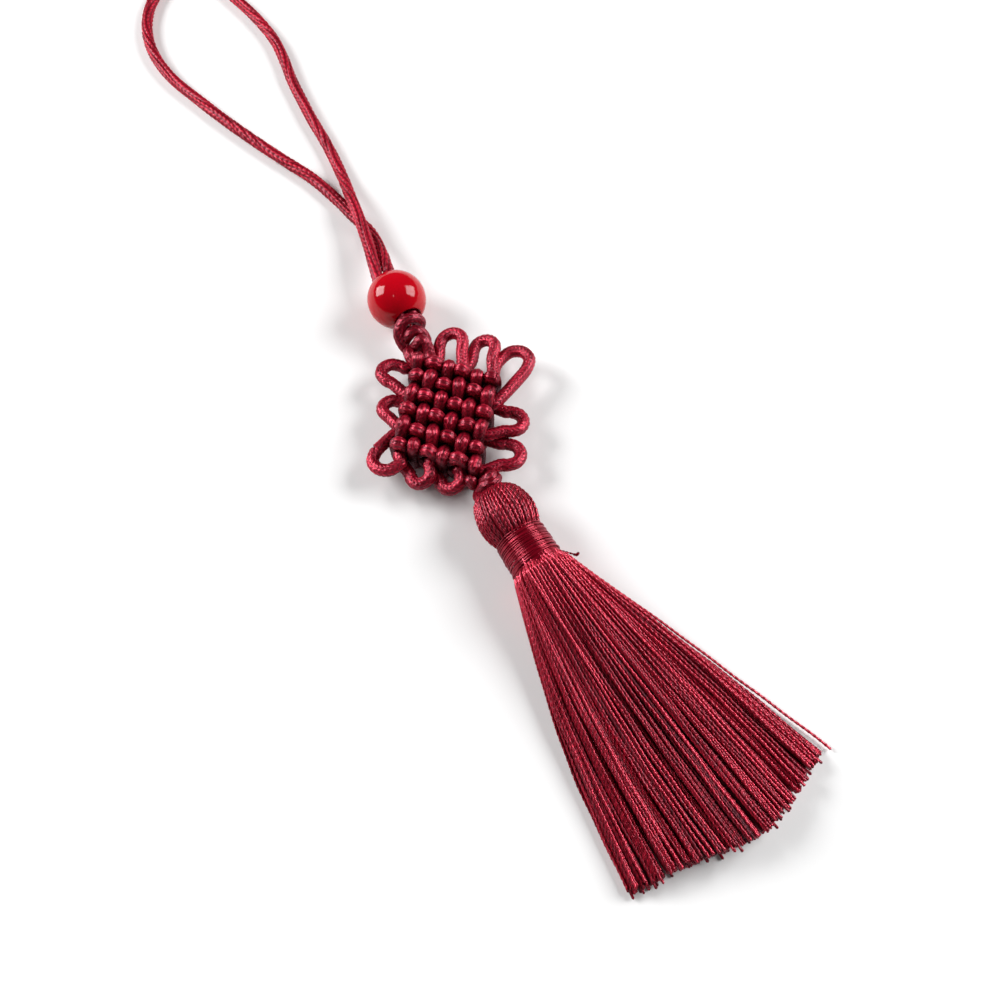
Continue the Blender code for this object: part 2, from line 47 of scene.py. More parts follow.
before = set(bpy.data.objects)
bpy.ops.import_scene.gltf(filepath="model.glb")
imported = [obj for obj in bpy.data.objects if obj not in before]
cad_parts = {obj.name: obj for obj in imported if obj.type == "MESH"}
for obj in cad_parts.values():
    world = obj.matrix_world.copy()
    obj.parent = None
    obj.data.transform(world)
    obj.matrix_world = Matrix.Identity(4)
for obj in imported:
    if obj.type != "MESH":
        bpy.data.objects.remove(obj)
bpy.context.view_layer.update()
BEAD_LOW, BEAD_HIGH = (np.array(corner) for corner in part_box("bead"))
PLACE = np.array([(BEAD_LOW[0] + BEAD_HIGH[0]) / 2, (BEAD_LOW[1] + BEAD_HIGH[1]) / 2, 0.0])

UP = np.array([0.0, 0.0, 1.0])
# Sections of a two-ply and of a plain thread, as shares of the radius
TWO_PLY = np.array([1.0, 0.86, 0.72, 1.0, 0.86, 0.72])
ONE_PLY = np.array([1.0, 0.98, 0.96, 0.98])
# Where the random draws of the head, the binding and the skirt start
HEAD_SEED, BINDING_SEED, SKIRT_SEED = 11, 5, 23


def mm(*rows):
    """These rows of millimetres, in metres."""
    return tuple(tuple(value / 1000 for value in row) for row in rows)


# Points on a curve between two of its route, and how level a path is where it sets its own frame
CURVE_STEPS, LEVEL_ENOUGH = 24, 0.35
# How much shorter a thread is where its grain is read
GRAIN_STRETCH = 8.0
# How near the floor a cord or thread comes
LOWEST = 0.00001

# Bead, with the lips of its bore
BEAD_RADIUS = 0.0041
BORE_RADIUS = 0.00188
BEAD_HEIGHT = 0.00388
BEAD_LIP = 0.00022
BEAD_TURNS, BEAD_ARC, LIP_STEPS, WALL_STEPS = 128, 72, 8, 8
# Clouds in its lacquer, the tones they lie between, and how much roughness they add to how much
BEAD_CLOUDS, BEAD_TONES, BEAD_ROUGHNESS = 350.0, (0.88, 1.06), (0.08, 0.05)

# Braid: wales of stitches round the cord, and points across a wale
WALES, WALE_SAMPLES = 8, 4
# How far stitches slip, as a share of one, over what length, and how much further on the next pair of wales
SLIP, SLIP_LENGTH, SLIP_STEP = 0.3, 0.0031, 2.1
# The sines by which the wales wander round the cord: angle, length and start
WANDERS = ((0.9, 0.0065, 0.0), (0.6, 0.0029, 1.0))
# How deep the groove between wales is, how sharp the seam between stitches, and how far stitches lean
LOOP_BRAID = {"groove": 0.92, "seam": 0.45, "lean": 0.45}
KNOT_BRAID = {"groove": 0.66, "seam": 0.70, "lean": 0.60}
LOOP_RINGS, KNOT_RINGS = 6, 5

# Lattice of six columns and six rows: how far apart they are, and which way from one to the next, in degrees
COLUMN_STEP = 0.00203
COLUMN_ANGLE = -45.5
ROW_STEP = 0.00257
ROW_ANGLE = -128.3
LATTICE_CENTRE = (-0.0022, -0.0197)
LINES = 6
# How far to each side of a crossing a line stays level, where it runs outside and where inside
LEVEL_REACH = {"column": (0.00022, 0.00046), "row": (0.00026, 0.00036)}
KNOT_HEIGHT = 0.003035
# How far from the knot's middle a line lies, outside and inside the crossing line
FRONT_LEVELS = (0.00262, 0.00085)
BACK_LEVELS = (-0.00215, -0.00060)
FOLD_REACH = 0.00060
# How far lines stray, and the sines of it along x, y and z: share, and weights of column, row and 1
LACING_SWAY = 0.00014
LACING_SINES = ((1.0, 1.9, 2.6, 0.0), (1.0, 2.3, -1.7, 1.0), (0.6, 3.1, 1.0, 0.0))
# How much a laced cord swells on the outside, and the share of the outermost level where that starts
LACED_SWELL, SWELL_FROM = 0.00040, 0.6
# How much shallower the braid is where it is drawn tight
TIGHTENED = 0.30
# Painted shade: how dark the cord is on top of the lattice, how that grows with depth, its most, and in the
# other knots
TOP_SHADE, SHADE_BY_DEPTH, MOST_SHADE, CONNECTION_SHADE = 0.05, 2.2, 0.85, 0.3
# Which way the cord leaves each side of the lattice, in degrees from +X
OUTWARD = {"top": 54, "right": -38, "bottom": -112, "left": 118}

# Ears: their straight legs, where along its reach one is widest, and how far its legs lie up and down
EAR_LEG, EAR_HIP, EAR_TWIST = 0.0010, 0.52, 0.00055
# Each ear's reach, its direction in degrees, and half its width
FIRST_STRAND_EARS = (
    (0.0067, 59, 0.00160),
    (0.0068, 52, 0.00145),
    (0.0081, 29, 0.00200),
    (0.0052, -31, 0.00176),
    (0.0056, -28, 0.00184),
)
SECOND_STRAND_EARS = (
    (0.0052, 123, 0.00170),
    (0.0038, 122, 0.00162),
    (0.0049, -156, 0.00205),
    (0.0041, -100, 0.00136),
    (0.0038, -97, 0.00136),
)
# The strands' ways through the two connection knots
FIRST_WAY_IN = mm(
    (0.87, -1.0, 4.0), (0.87, -2.8, 4.3), (0.8, -3.8, 3.8), (1.1, -4.7, 2.9),
    (1.3, -4.9, 4.0), (0.75, -4.7, 5.0), (-0.3, -4.6, 5.4), (-1.4, -4.7, 5.1),
    (-2.2, -5.3, 4.3), (-2.35, -6.3, 3.4), (-2.0, -7.3, 2.7), (-1.4, -7.8, 3.1),
    (-0.9, -8.1, 4.2), (-0.2, -8.1, 4.9), (0.2, -8.5, 4.8), (0.3, -9.2, 4.3),
    (0.15, -10.0, 3.8), (0.0, -10.7, 3.8),
)
SECOND_WAY_IN = mm(
    (-0.87, -1.0, 4.0), (-0.87, -2.8, 4.3), (-0.85, -3.8, 3.7), (-1.2, -5.2, 2.6),
    (-1.75, -6.1, 3.1), (-1.25, -6.3, 4.2), (-0.4, -6.2, 4.6), (0.5, -6.6, 4.3),
    (0.8, -7.4, 3.3), (0.1, -8.0, 2.5), (-1.2, -8.1, 2.4), (-2.1, -8.1, 3.3),
    (-2.35, -8.8, 4.0), (-2.45, -9.7, 3.9),
)
LOWER_KNOT_SHIFT = (-0.0014, -0.0290, 0.0001)
LOWER_KNOT_DRAWN = 0.68


def lower_knot(way_in, start, end):
    """A strand's way through the lower knot.

    It is the way through the upper one, turned end for end, drawn together along y, and moved.
    """
    top = way_in[-1][1]
    across, down, up = LOWER_KNOT_SHIFT
    turned = [(x + across, down + LOWER_KNOT_DRAWN * (top - y), z + up) for x, y, z in way_in[-2:1:-1]]
    return (start, *turned, end)


FIRST_WAY_OUT = lower_knot(FIRST_WAY_IN, (-0.00130, -0.0288, 0.0021), (-0.00140, -0.0343, 0.0036))
SECOND_WAY_OUT = lower_knot(SECOND_WAY_IN, (-0.00390, -0.0284, 0.0019), (-0.00270, -0.0343, 0.0036))
FIRST_STRAND = (FIRST_STRAND_EARS, FIRST_WAY_IN, FIRST_WAY_OUT)
SECOND_STRAND = (SECOND_STRAND_EARS, SECOND_WAY_IN, SECOND_WAY_OUT)

# Hanging loop, from one end in the bead's bore round to the other: down to the floor, along it, and up again
LOOP_DOWN = mm(
    (-0.87, 0.15, 3.88), (-0.9, 3.7, 3.88), (-0.36, 6.6, 3.9), (0.4, 9.7, 3.6),
    (1.0, 12.7, 3.2), (1.42, 15.2, 2.95), (1.7, 17.2, 2.89), (2.0, 19.4, 2.7),
    (2.4, 21.9, 2.1), (2.95, 25.3, 1.2),
)
LOOP_LYING = mm(
    (3.4, 29.5), (3.6, 33.9), (3.6, 38.4), (3.8, 43.0), (4.1, 47.6), (4.7, 52.1),
    (5.0, 56.9), (4.4, 62.3), (3.1, 68.1), (1.5, 73.2), (-1.4, 76.8), (-5.5, 77.3),
    (-9.0, 74.8), (-11.6, 70.8), (-13.0, 66.4), (-13.3, 61.7), (-12.5, 56.4), (-10.6, 50.7),
    (-8.5, 44.9), (-6.1, 39.0), (-3.6, 33.3), (-1.1, 27.8), (0.6, 22.2), (1.25, 19.2),
)
LOOP_UP = mm(
    (1.78, 17.1, 0.88), (2.22, 15.0, 1.15), (2.25, 12.3, 1.8), (1.76, 8.5, 2.9),
    (0.9, 3.7, 3.84), (0.87, 0.15, 3.88),
)
LOOP_REST = 0.00087
LOOP_ROUTE = (*LOOP_DOWN, *((x, y, LOOP_REST) for x, y in LOOP_LYING), *LOOP_UP)

# Tassel
HEAD_TOP = (-0.0021, -0.0323)
TASSEL_LEAN = math.radians(2.5)
# The head's outline: how far down the axis, radius, and height of the axis
HEAD_PROFILE = mm(
    (0.4, 1.0, 3.6), (0.0, 1.7, 3.6), (0.22, 2.5, 3.7), (1.05, 3.25, 3.7),
    (2.4, 3.74, 3.8), (3.9, 4.0, 3.8), (5.2, 3.88, 3.7), (6.2, 3.52, 3.7),
    (7.0, 3.12, 3.6), (8.5, 2.9, 3.6),
)
HEAD_PITCH = 0.0015
HEAD_STEP, CORE_STEP = 0.00018, 0.0006
# The head's threads: how unevenly they are spaced, their slant and its spread, and how full they lie
HEAD_JITTER, HEAD_SLANT, SLANT_SPREAD, HEAD_FILL = 0.15, 0.22, 0.05, 0.62
# How far in and out they lie, and how their tone spreads
HEAD_UNEVEN, HEAD_TONE = (-0.00010, 0.00006), 0.16
# Core: its sides, how far inside the threads it lies, and how much colour its painted shade leaves
CORE_SIDES, CORE_INSET, CORE_SHADE = 40, 0.00030, 0.4

# Neck binding, its heights at both ends, and its thread, wider than high
BINDING_FROM, BINDING_TO = 0.00680, 0.01205
BINDING_RADIUS = 0.00335
BINDING_HEIGHTS = (0.0036, 0.0035)
BINDING_THREAD, BINDING_GRAIN, BINDING_SIDES = (0.000105, 0.000095), 0.0001, 6
# Its share of colour at the flanks, with painted shade deepening towards the neck, and its steps in a turn
BINDING_RELIEF, BINDING_STEPS = 0.62, 60
# The full winding and the looser one over it: lift, how far it strays, and how far inside the ends it stays
WINDINGS = ((0.0, 0.00006, 0.00012), (0.00011, 0.00024, 0.00042))
# The looser one's turns, and how often in a turn a winding strays
OVER_TURNS, STRAYS_PER_TURN = 11, 3
# The winding's depth in the neck, how uneven it is, and how far it widens downwards
BINDING_DEPTH, BINDING_UNEVEN, BINDING_FLARE = 0.00013, 0.00004, 0.00010
LOOSE_END = mm(
    (1.2, -43.2, 4.6), (1.9, -43.6, 4.0), (2.8, -44.3, 3.7), (3.3, -44.7, 3.5),
    (3.7, -44.7, 3.7),
)
# Its rings, twist and radius, the knot in it (how much thicker, where and how wide) and its waves
LOOSE_STEP, LOOSE_PITCH, LOOSE_RADIUS = 0.00012, 0.0009, 0.00014
LOOSE_KNOT, LOOSE_WAVES = (0.00012, 0.90, 0.10), (0.00003, 40)

# Skirt: where its ends lie, and how far its sides bulge
SKIRT_EDGE_X = (-0.01090, -0.00606, -0.00168, 0.00147, 0.00557, 0.00878, 0.01197, 0.01475, 0.01720)
SKIRT_EDGE_Y = (-0.08180, -0.08215, -0.08255, -0.08305, -0.08350, -0.08265, -0.08150, -0.08000, -0.07900)
SKIRT_BULGE = (-0.00115, 0.00105)
SKIRT_LENGTH = 0.0395
# How high the strays' ends lie
STRAY_PILE = 0.0033
# Rings in a turn of the thread, and how far to the sides ends lie that no clump pulls
THREAD_RINGS, UNGATHERED = 6, 0.9
# Under the binding the threads start this far inside, and come out this far beyond it, wider by then
NECK_STEPS, NECK_INSIDE, NECK_LENGTH, NECK_OUTSIDE = 8, 0.0016, 0.0020, 0.0004
NECK_RADIUS = 0.00290
SKIRT_ROOT_RADIUS = 0.00372
# Fall of the threads from the neck to the pile: z goes as this power of what is left
SKIRT_FALL = 2.4
# Threads sway across by two sines and up by a third: how far, and how fast from root to tip
SWAYS = ((0.00010, 9), (0.00004, 31), (0.00007, 11))
# Threads gather in clumps, which pull them sideways, lift them and tone them
CLUMPS = 32
CLUMP_PULL, CLUMP_LIFT, CLUMP_TONE = 0.28, 0.00022, 0.15
# Some threads lie higher and shine, and their tone paints them lighter and glossier
SHINY_SHARE, SHINY_LIFT, SHINY_PAINTED_LIGHT = 0.20, 0.00020, 0.45
# Threads' random tone, and the painted shade of a layer by how deep it lies
THREAD_TONE, DEPTH_SHADE = 0.12, 180.0
THICKNESS_SPREAD = (0.90, 1.08)
# Near the neck the threads are painted lighter and made glossier: how much, from where, and over what
# length it fades
NECK_LIGHT, NECK_LIGHT_FROM, NECK_LIGHT_FADE = 1.1, 0.0016, 0.0055
# A hidden thread's rings lie this far apart, and it doesn't turn
HIDDEN_STEP = 0.0046
ENDLESS_PITCH = 10.0
# How unevenly threads are spaced, how much deeper each of three lies than the last, and how ragged they end
SPACING_JITTER = 0.012
STAGGER_OF, STAGGER = 3, 0.55
RAGGED, LONG_SHARE, LONG_BY = 0.0004, 0.07, 0.0006
# Layers from the top down: threads, how far inside the neck and how far over its middle they start, how high
# they end, and whether they are twisted
SKIRT_LAYERS = (
    ("skirt_top", 92, 0.0000, 1.0, 0.0030, True),
    ("skirt_second", 92, 0.0006, 1.0, 0.0026, True),
    ("skirt_third", 78, 0.0012, 1.0, 0.0019, False),
    ("skirt_fourth", 76, 0.0016, 0.6, 0.0012, False),
    ("skirt_fifth", 76, 0.0008, -0.6, 0.0006, False),
    ("skirt_under", 72, 0.0000, -1.0, 0.0, False),
)
# Threads that stray: share of the width at root and tip, depth, length beyond the edge, and further bulge
STRAYS = (
    (0.98, 1.09, 0.0, 0.0004, -0.0004),
    (0.20, 0.36, -0.0002, 0.0004, 0.0),
    (-0.35, -0.18, -0.0002, 0.0002, 0.0),
    (-0.60, -0.72, -0.0001, 0.0008, 0.0),
    (0.62, 0.80, -0.0001, 0.0000, 0.0003),
    (0.05, -0.06, -0.0002, 0.0010, 0.0),
)

# Studio, placed from the bead's foot
FLOOR_REACH = 3.0
SKY_STRENGTH = 0.06
# Each light's direction, distance, size and power
LIGHTS = (
    ("left_window", (-0.633, 0.589, 0.502), 0.50, (0.26, 0.30), 3.6),
    ("right_window", (0.822, -0.169, 0.544), 0.50, (0.30, 0.30), 3.4),
    ("camera_side", (-0.26, -0.25, 0.93), 0.60, (0.02, 0.02), 0.12),
)
CAMERA_PLACE = (-0.02723, -0.08189, 0.12631)
CAMERA_TURN = (math.radians(24), 0.0, math.radians(-28))
CAMERA_LENS = 37.8

# Fibres: own colour and painted shade colour by name, then roughness, metallic, specular level and
# height of the filaments
FIBRES = {
    "loop_cord_satin": ("loop", "loop_painted_shade", 0.42, 0.20, 0.5, 0.00005),
    "knot_cord_satin": ("cord", "cord_painted_shade", 0.30, 0.40, 1.0, 0.00016),
    "tassel_thread_satin": ("thread", "thread_painted_shade", 0.28, 0.36, 1.0, 0.00003),
    "binding_thread_gloss": ("binding", "cord_painted_shade", 0.20, 0.45, 0.9, 0.00001),
}
FIBRE_GLINT = (1.0, 0.48, 0.60, 1)
FILAMENT_STRENGTH = 0.7
# In the shade group: the power on the height before painted shade is mixed in, the streaks' gain, and how
# far tone goes into the painted highlight colour
RELIEF_POWER, STREAK_GAIN, LIGHT_BY_TONE = 1.6, 2.0, 0.35
# and how far streaks and tone change the roughness, and the least it gets
ROUGH_BY_STREAK, ROUGH_BY_TONE, LEAST_ROUGH = 0.24, -0.4, 0.18


def a_length(name, description, default):
    """A property that is a length in metres."""
    return bpy.props.FloatProperty(name=name, description=description, default=default, subtype="DISTANCE")


def a_number(name, description, default):
    """A property that is a whole number."""
    return bpy.props.IntProperty(name=name, description=description, default=default)


def a_colour(name, description, default):
    """A property that is a linear colour."""
    return bpy.props.FloatVectorProperty(name=name, description=description, default=default, subtype="COLOR")


class PendantSizes(bpy.types.PropertyGroup):
    """Thickness and number of the pendant's cords and threads."""

    loop_cord: a_length("Loop cord", "Diameter of the hanging loop's cord", 0.0018)
    knot_cord: a_length("Knot cord", "Diameter of the knotted cord where it is loose", 0.00174)
    laced_width: a_length("Laced width", "Width of the cord where it is drawn tight in a knot", 0.00162)
    laced_thickness: a_length("Laced thickness", "Thickness of the cord where it is drawn tight", 0.00152)
    loop_stitch: a_length("Loop stitch", "Length of one stitch of the loop's braid", 0.0009)
    loop_depth: a_length("Loop braid depth", "Depth of the grooves in the loop's braid", 0.00028)
    knot_stitch: a_length("Knot stitch", "Length of one stitch of the knotted braid", 0.00056)
    knot_depth: a_length("Knot braid depth", "Depth of the grooves in the knotted braid", 0.00020)
    tassel_thread: a_length("Tassel thread", "Widest diameter of a two-ply tassel thread", 0.00043)
    thread_pitch: a_length("Thread twist", "Length of one full turn of the two plies", 0.0016)
    head_thread: a_length("Head thread", "Widest diameter of a thread on the head", 0.00052)
    head_threads: a_number("Head threads", "Threads folded over the head", 52)
    binding_turns: a_number("Binding turns", "Turns of the neck binding", 27)


class PendantColours(bpy.types.PropertyGroup):
    """Colours of the pendant's materials."""

    loop: a_colour("Loop cord", "Raised stitches of the loop's cord", (0.44, 0.006, 0.024))
    # Painted shade of the loop's grooves
    loop_painted_shade: a_colour("Loop grooves", "Between the stitches of the loop's cord", (0.07, 0.000, 0.004))
    cord: a_colour("Knot cord", "Raised stitches of the knotted cord", (0.50, 0.008, 0.034))
    # Painted shade of the knotted cord's grooves and deep places, also on the binding's inner side
    cord_painted_shade: a_colour("Knot grooves", "Between the stitches of the knotted cord", (0.03, 0.0, 0.001))
    thread: a_colour("Thread", "Raised plies of the tassel's threads", (0.46, 0.007, 0.029))
    # Painted shade between the plies and on the head's core
    thread_painted_shade: a_colour("Thread grooves", "Between the plies of a thread", (0.11, 0.0, 0.004))
    binding: a_colour("Binding", "Wound thread round the neck", (0.27, 0.002, 0.014))
    bead: a_colour("Bead", "The bead's red", (0.42, 0.001, 0.007))
    floor: a_colour("Floor", "The studio's floor", (0.86, 0.86, 0.86))


# Curves


def heading(angle):
    """The level unit vector this many degrees from +X: (cos, sin, 0)."""
    angle = math.radians(angle)
    return np.array([math.cos(angle), math.sin(angle), 0.0])


def curve_through(route, spacing):
    """Points this far apart on the Catmull-Rom curve through the route.

    Between b and c, with neighbours a and d, the curve is half of 2b + (c - a) t + (2a - 5b + 4c - d) t^2
    + (3b - a - 3c + d) t^3. Columns after the third are carried along and don't count in the length.
    """
    route = np.array(route, float)
    ends = np.vstack([2 * route[0] - route[1], route, 2 * route[-1] - route[-2]])
    a, b, c, d = (ends[k : len(ends) - 3 + k, None, :] for k in range(4))
    t = np.linspace(0, 1, CURVE_STEPS, endpoint=False)[None, :, None]
    fine = 0.5 * (2 * b + (c - a) * t + (2 * a - 5 * b + 4 * c - d) * t**2 + (3 * b - a - 3 * c + d) * t**3)
    fine = np.vstack([fine.reshape(-1, route.shape[1]), route[-1:]])
    along = lengths_along(fine[:, :3])
    at = np.linspace(0, along[-1], round(along[-1] / spacing) + 1)
    return np.stack([np.interp(at, along, column) for column in fine.T], axis=1)


def lengths_along(path):
    """Length of the path up to each of its points."""
    return np.r_[0, np.cumsum(np.linalg.norm(np.diff(path, axis=0), axis=1))]


def unit(vectors):
    """These vectors at a length of 1."""
    return vectors / np.maximum(np.linalg.norm(vectors, axis=-1, keepdims=True), 1e-9)


def directions(points):
    """Unit tangents of the paths in points, an array (..., steps, 3)."""
    return unit(np.gradient(points, axis=-2))


def square_to(tangent, vectors):
    """The vectors less their part along the tangent, at a length of 1."""
    return unit(vectors - tangent * (vectors * tangent).sum(axis=1, keepdims=True))


def level_frames(points):
    """For each point of one path, the level direction across it and the direction square to both.

    Across is UP x tangent, with its sign kept from point to point; where the path stands nearly upright
    it is read off between the last level point and the next.
    """
    tangent = directions(points)
    across = np.cross(UP, tangent)
    size = np.linalg.norm(across, axis=1)
    level = np.flatnonzero(size > LEVEL_ENOUGH)
    known = across[level] / size[level, None]
    turned = np.where((known[1:] * known[:-1]).sum(axis=1) < 0, -1.0, 1.0)
    known *= np.cumprod(np.r_[1.0, turned])[:, None]
    across = np.stack([np.interp(np.arange(len(points)), level, column) for column in known.T], axis=1)
    across = square_to(tangent, across)
    return across, np.cross(tangent, across)


def bundle_frames(points):
    """Directions across and square for many paths, an array (threads, steps, 3): UP x tangent, normalised."""
    tangent = directions(points)
    across = unit(np.cross(UP, tangent))
    return across, np.cross(tangent, across)


def section_points(path, across, square, wide, high):
    """Points of the sections along a path: the path plus wide times across plus high times square."""
    path, across, square = (each[..., None, :] for each in (path, across, square))
    return path + wide[..., None] * across + high[..., None] * square


# Meshes


def tube_faces(rings, sides, wrap=False):
    """Quads of one tube whose vertex (ring, side) is numbered ring * sides + side."""
    ring = np.arange(rings if wrap else rings - 1)[:, None]
    side = np.arange(sides)[None, :]
    after, beyond = (side + 1) % sides, (ring + 1) % rings
    corners = (ring * sides + side, ring * sides + after, beyond * sides + after, beyond * sides + side)
    return np.stack(np.broadcast_arrays(*corners), axis=-1).reshape(-1, 4)


def tube_bundle(surface, domed=0.0):
    """Vertices, quads and end triangles of closed tubes from surface, an array (tubes, rings, sides, 3).

    Each end closes on one vertex at its ring's middle, pushed out along the tube by domed ring radii. No
    vertex lies under LOWEST.
    """
    tubes, rings, sides, _ = surface.shape
    middle = surface[:, [0, -1]].mean(axis=2)
    inner = surface[:, [1, -2]].mean(axis=2)
    outward = unit(middle - inner)
    radius = np.linalg.norm(surface[:, [0, -1]] - middle[:, :, None], axis=-1).mean(axis=2)
    caps = middle + domed * radius[..., None] * outward
    count = rings * sides + 2
    points = np.concatenate([surface.reshape(tubes, rings * sides, 3), caps], axis=1)
    offset = np.arange(tubes)[:, None, None] * count
    quads = (tube_faces(rings, sides)[None] + offset).reshape(-1, 4)
    side = np.arange(sides)
    after = (side + 1) % sides
    start = np.stack([after, side, np.full(sides, rings * sides)], axis=1)
    last = (rings - 1) * sides
    end = np.stack([last + side, last + after, np.full(sides, rings * sides + 1)], axis=1)
    triangles = (np.concatenate([start, end])[None] + offset).reshape(-1, 3)
    points = points.reshape(-1, 3)
    points[:, 2] = np.maximum(points[:, 2], LOWEST)
    return points, quads, triangles


def with_caps(values, fill=0.0):
    """Numbers or vectors (tubes, rings, sides) in the order of tube_bundle's vertices.

    A cap's number is fill, and its vector its ring's middle.
    """
    tubes, rings, sides, *size = values.shape
    caps = values[:, [0, -1]].mean(axis=2) if size else np.full((tubes, 2), fill)
    return np.concatenate([values.reshape(tubes, rings * sides, *size), caps], axis=1).reshape(-1, *size)


def grain_points(wide, high, along):
    """Where a thread's points would lie if it were straight and GRAIN_STRETCH times shorter."""
    return np.stack(np.broadcast_arrays(wide, high, np.asarray(along)[..., None] / GRAIN_STRETCH), axis=-1)


def new_object(name, data):
    """A new object of this mesh, lamp or camera in the scene."""
    made = bpy.data.objects.new(name, data)
    bpy.context.scene.collection.objects.link(made)
    return made


def new_piece(name, surface, material, attributes, replaced=()):
    """A smooth mesh piece, shifted to the bead's place, from its points, quads and triangles.

    Its attributes hold a number or a vector for each vertex.
    """
    points, quads, triangles = surface
    mesh = bpy.data.meshes.new(name)
    faces = [*quads.tolist(), *triangles.tolist()]
    mesh.from_pydata((points + PLACE).tolist(), [], faces)
    mesh.polygons.foreach_set("use_smooth", np.ones(len(faces), bool))
    for label, values in attributes.items():
        kind, field = ("FLOAT_VECTOR", "vector") if values.ndim == 2 else ("FLOAT", "value")
        layer = mesh.attributes.new(label, kind, "POINT")
        layer.data.foreach_set(field, values.astype(np.float32).ravel())
    mesh.materials.append(material)
    mesh.update()
    piece = new_object(name, mesh)
    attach(piece, "root")
    if replaced:
        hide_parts(*replaced)
    return piece


# Braided cord


def braided_cord(name, path, form, look, replaced):
    """A braided cord along a path.

    form is its width, thickness, braid depth and the share of colour left by painted shade, each a number or
    one for each point.
    look is its stitch's length, its braid and its material.

    Round the cord run eight wales of stitches. With a from -1 to 1 across a wale and p from -1 to 1 along a
    stitch, a stitch's height is sqrt(1 - groove a^2) times (1 - |p|^3)^seam. Its phase leans with a, one way
    in one wale and the other way in the next, so that two wales make a row of V shapes. The wales wander
    round the cord, and slip along it, by sines of the length. The surface is an ellipse of the cord's width
    and thickness, sunk by up to its braid depth where the stitches end.
    """
    widths, thicknesses, depths, shades = (np.reshape(each, (-1, 1)) for each in form)
    stitch, braid, material = look
    sides = WALES * WALE_SAMPLES
    side = np.arange(sides)
    turn = 2 * math.pi * side / sides
    wale, within = side // WALE_SAMPLES, side % WALE_SAMPLES
    a = 2 * within / WALE_SAMPLES - 1
    lean = np.where(wale % 2, -1.0, 1.0)
    along = lengths_along(path)[:, None]
    slip = SLIP * np.sin(along / SLIP_LENGTH + SLIP_STEP * (wale // 2))
    phase = along / stitch + braid["lean"] * lean * a + 0.5 * (wale // 2 % 2) + slip
    p = 2 * (phase % 1) - 1
    height = np.sqrt(1 - braid["groove"] * a**2) * (1 - np.abs(p) ** 3) ** braid["seam"]
    sunk = depths * (1 - height)
    across, square = level_frames(path)
    for angle, length, start in WANDERS:
        turn = turn + angle * np.sin(along / length + start)
    wide = (widths / 2 - sunk) * np.cos(turn)
    high = (thicknesses / 2 - sunk) * np.sin(turn)
    surface = section_points(path, across, square, wide, high)
    # Painted shade: the grooves between stitches darker, scaled by the form's share of colour
    attributes = {
        "relief_shade": with_caps((height * shades)[None]),
        "grain": with_caps(grain_points(wide, high, along[:, 0])[None]),
    }
    return new_piece(name, tube_bundle(surface[None]), material, attributes, replaced)


# Knotted cord


def lattice_point(column, row, height):
    """The point over this column and row, which need not be whole numbers, swayed by sines as hand-laced."""
    middle = (LINES + 1) / 2
    by_column = (column - middle) * COLUMN_STEP * heading(COLUMN_ANGLE)
    level = by_column + (row - middle) * ROW_STEP * heading(ROW_ANGLE)
    sway = [share * math.sin(c * column + r * row + start) for share, c, r, start in LACING_SINES]
    return level + np.array([*LATTICE_CENTRE, height]) + LACING_SWAY * np.array(sway)


def lattice_line(kind, line, start, end, levels):
    """Route of a front or back line, over and under the crossing lines like plain weave."""
    points = []
    way = 1 if end > start else -1
    for crossing in range(start, end + way, way):
        outside = (line + crossing) % 2 == (0 if kind == "column" else 1)
        height = KNOT_HEIGHT + levels[0 if outside else 1]
        level = LEVEL_REACH[kind][0 if outside else 1] / (ROW_STEP if kind == "column" else COLUMN_STEP)
        for at in np.clip([crossing - way * level, crossing + way * level], 1, LINES):
            points.append(lattice_point(*((line, at) if kind == "column" else (at, line)), height))
    return points


def bight(kind, line, home, far):
    """Route of one doubled line: out along the front, a fold past the far side, and home along the back."""
    front = lattice_line(kind, line, home, far, FRONT_LEVELS)
    back = lattice_line(kind, line, far, home, BACK_LEVELS)
    middle = (front[-1] + back[0]) / 2
    rise = front[-1] - middle
    reach = FOLD_REACH if far > home else -FOLD_REACH
    outward = heading(ROW_ANGLE if kind == "column" else COLUMN_ANGLE) * reach
    turns = np.linspace(0, math.pi, 7)[1:-1]
    return front + [middle + rise * math.cos(turn) + outward * math.sin(turn) for turn in turns] + back


def ear(leaving, arriving, out, back_in, row):
    """Route of the loop from the end of one bight to the start of the next, by two hips and a round tip."""
    reach, angle, belly = row
    middle = (leaving + arriving) / 2
    forward = heading(angle)
    aside = np.cross(UP, forward)
    aside = aside if aside @ (leaving - arriving) > 0 else -aside
    bend = middle + forward * (reach - belly)
    tip = []
    for turn in np.linspace(0, math.pi, 5):
        round_bend = math.cos(turn) * aside + math.sin(turn) * forward
        tip.append(bend + belly * round_bend - math.cos(turn) * EAR_TWIST * UP)
    hip = middle + forward * reach * EAR_HIP
    out_of_line = belly * aside - EAR_TWIST * UP
    return [
        leaving + heading(OUTWARD[out]) * EAR_LEG,
        hip + out_of_line,
        *tip,
        hip - out_of_line,
        arriving + heading(OUTWARD[back_in]) * EAR_LEG,
    ]


def strand_route(bights, sides, ear_rows, way_in, way_out):
    """Route of a strand; a fourth column is 1 in the lattice, 0 in the ears, -1 in the connection knots."""
    route = [(*point, -1.0) for point in way_in]
    runs = [bight(*each) for each in bights]
    for index, run in enumerate(runs):
        route += [(*point, 1.0) for point in run]
        if index < len(ear_rows):
            loop = ear(run[-1], runs[index + 1][0], *sides[2 * index : 2 * index + 2], ear_rows[index])
            route += [(*point, 0.0) for point in loop]
    return route + [(*point, -1.0) for point in way_out]


# Twisted thread


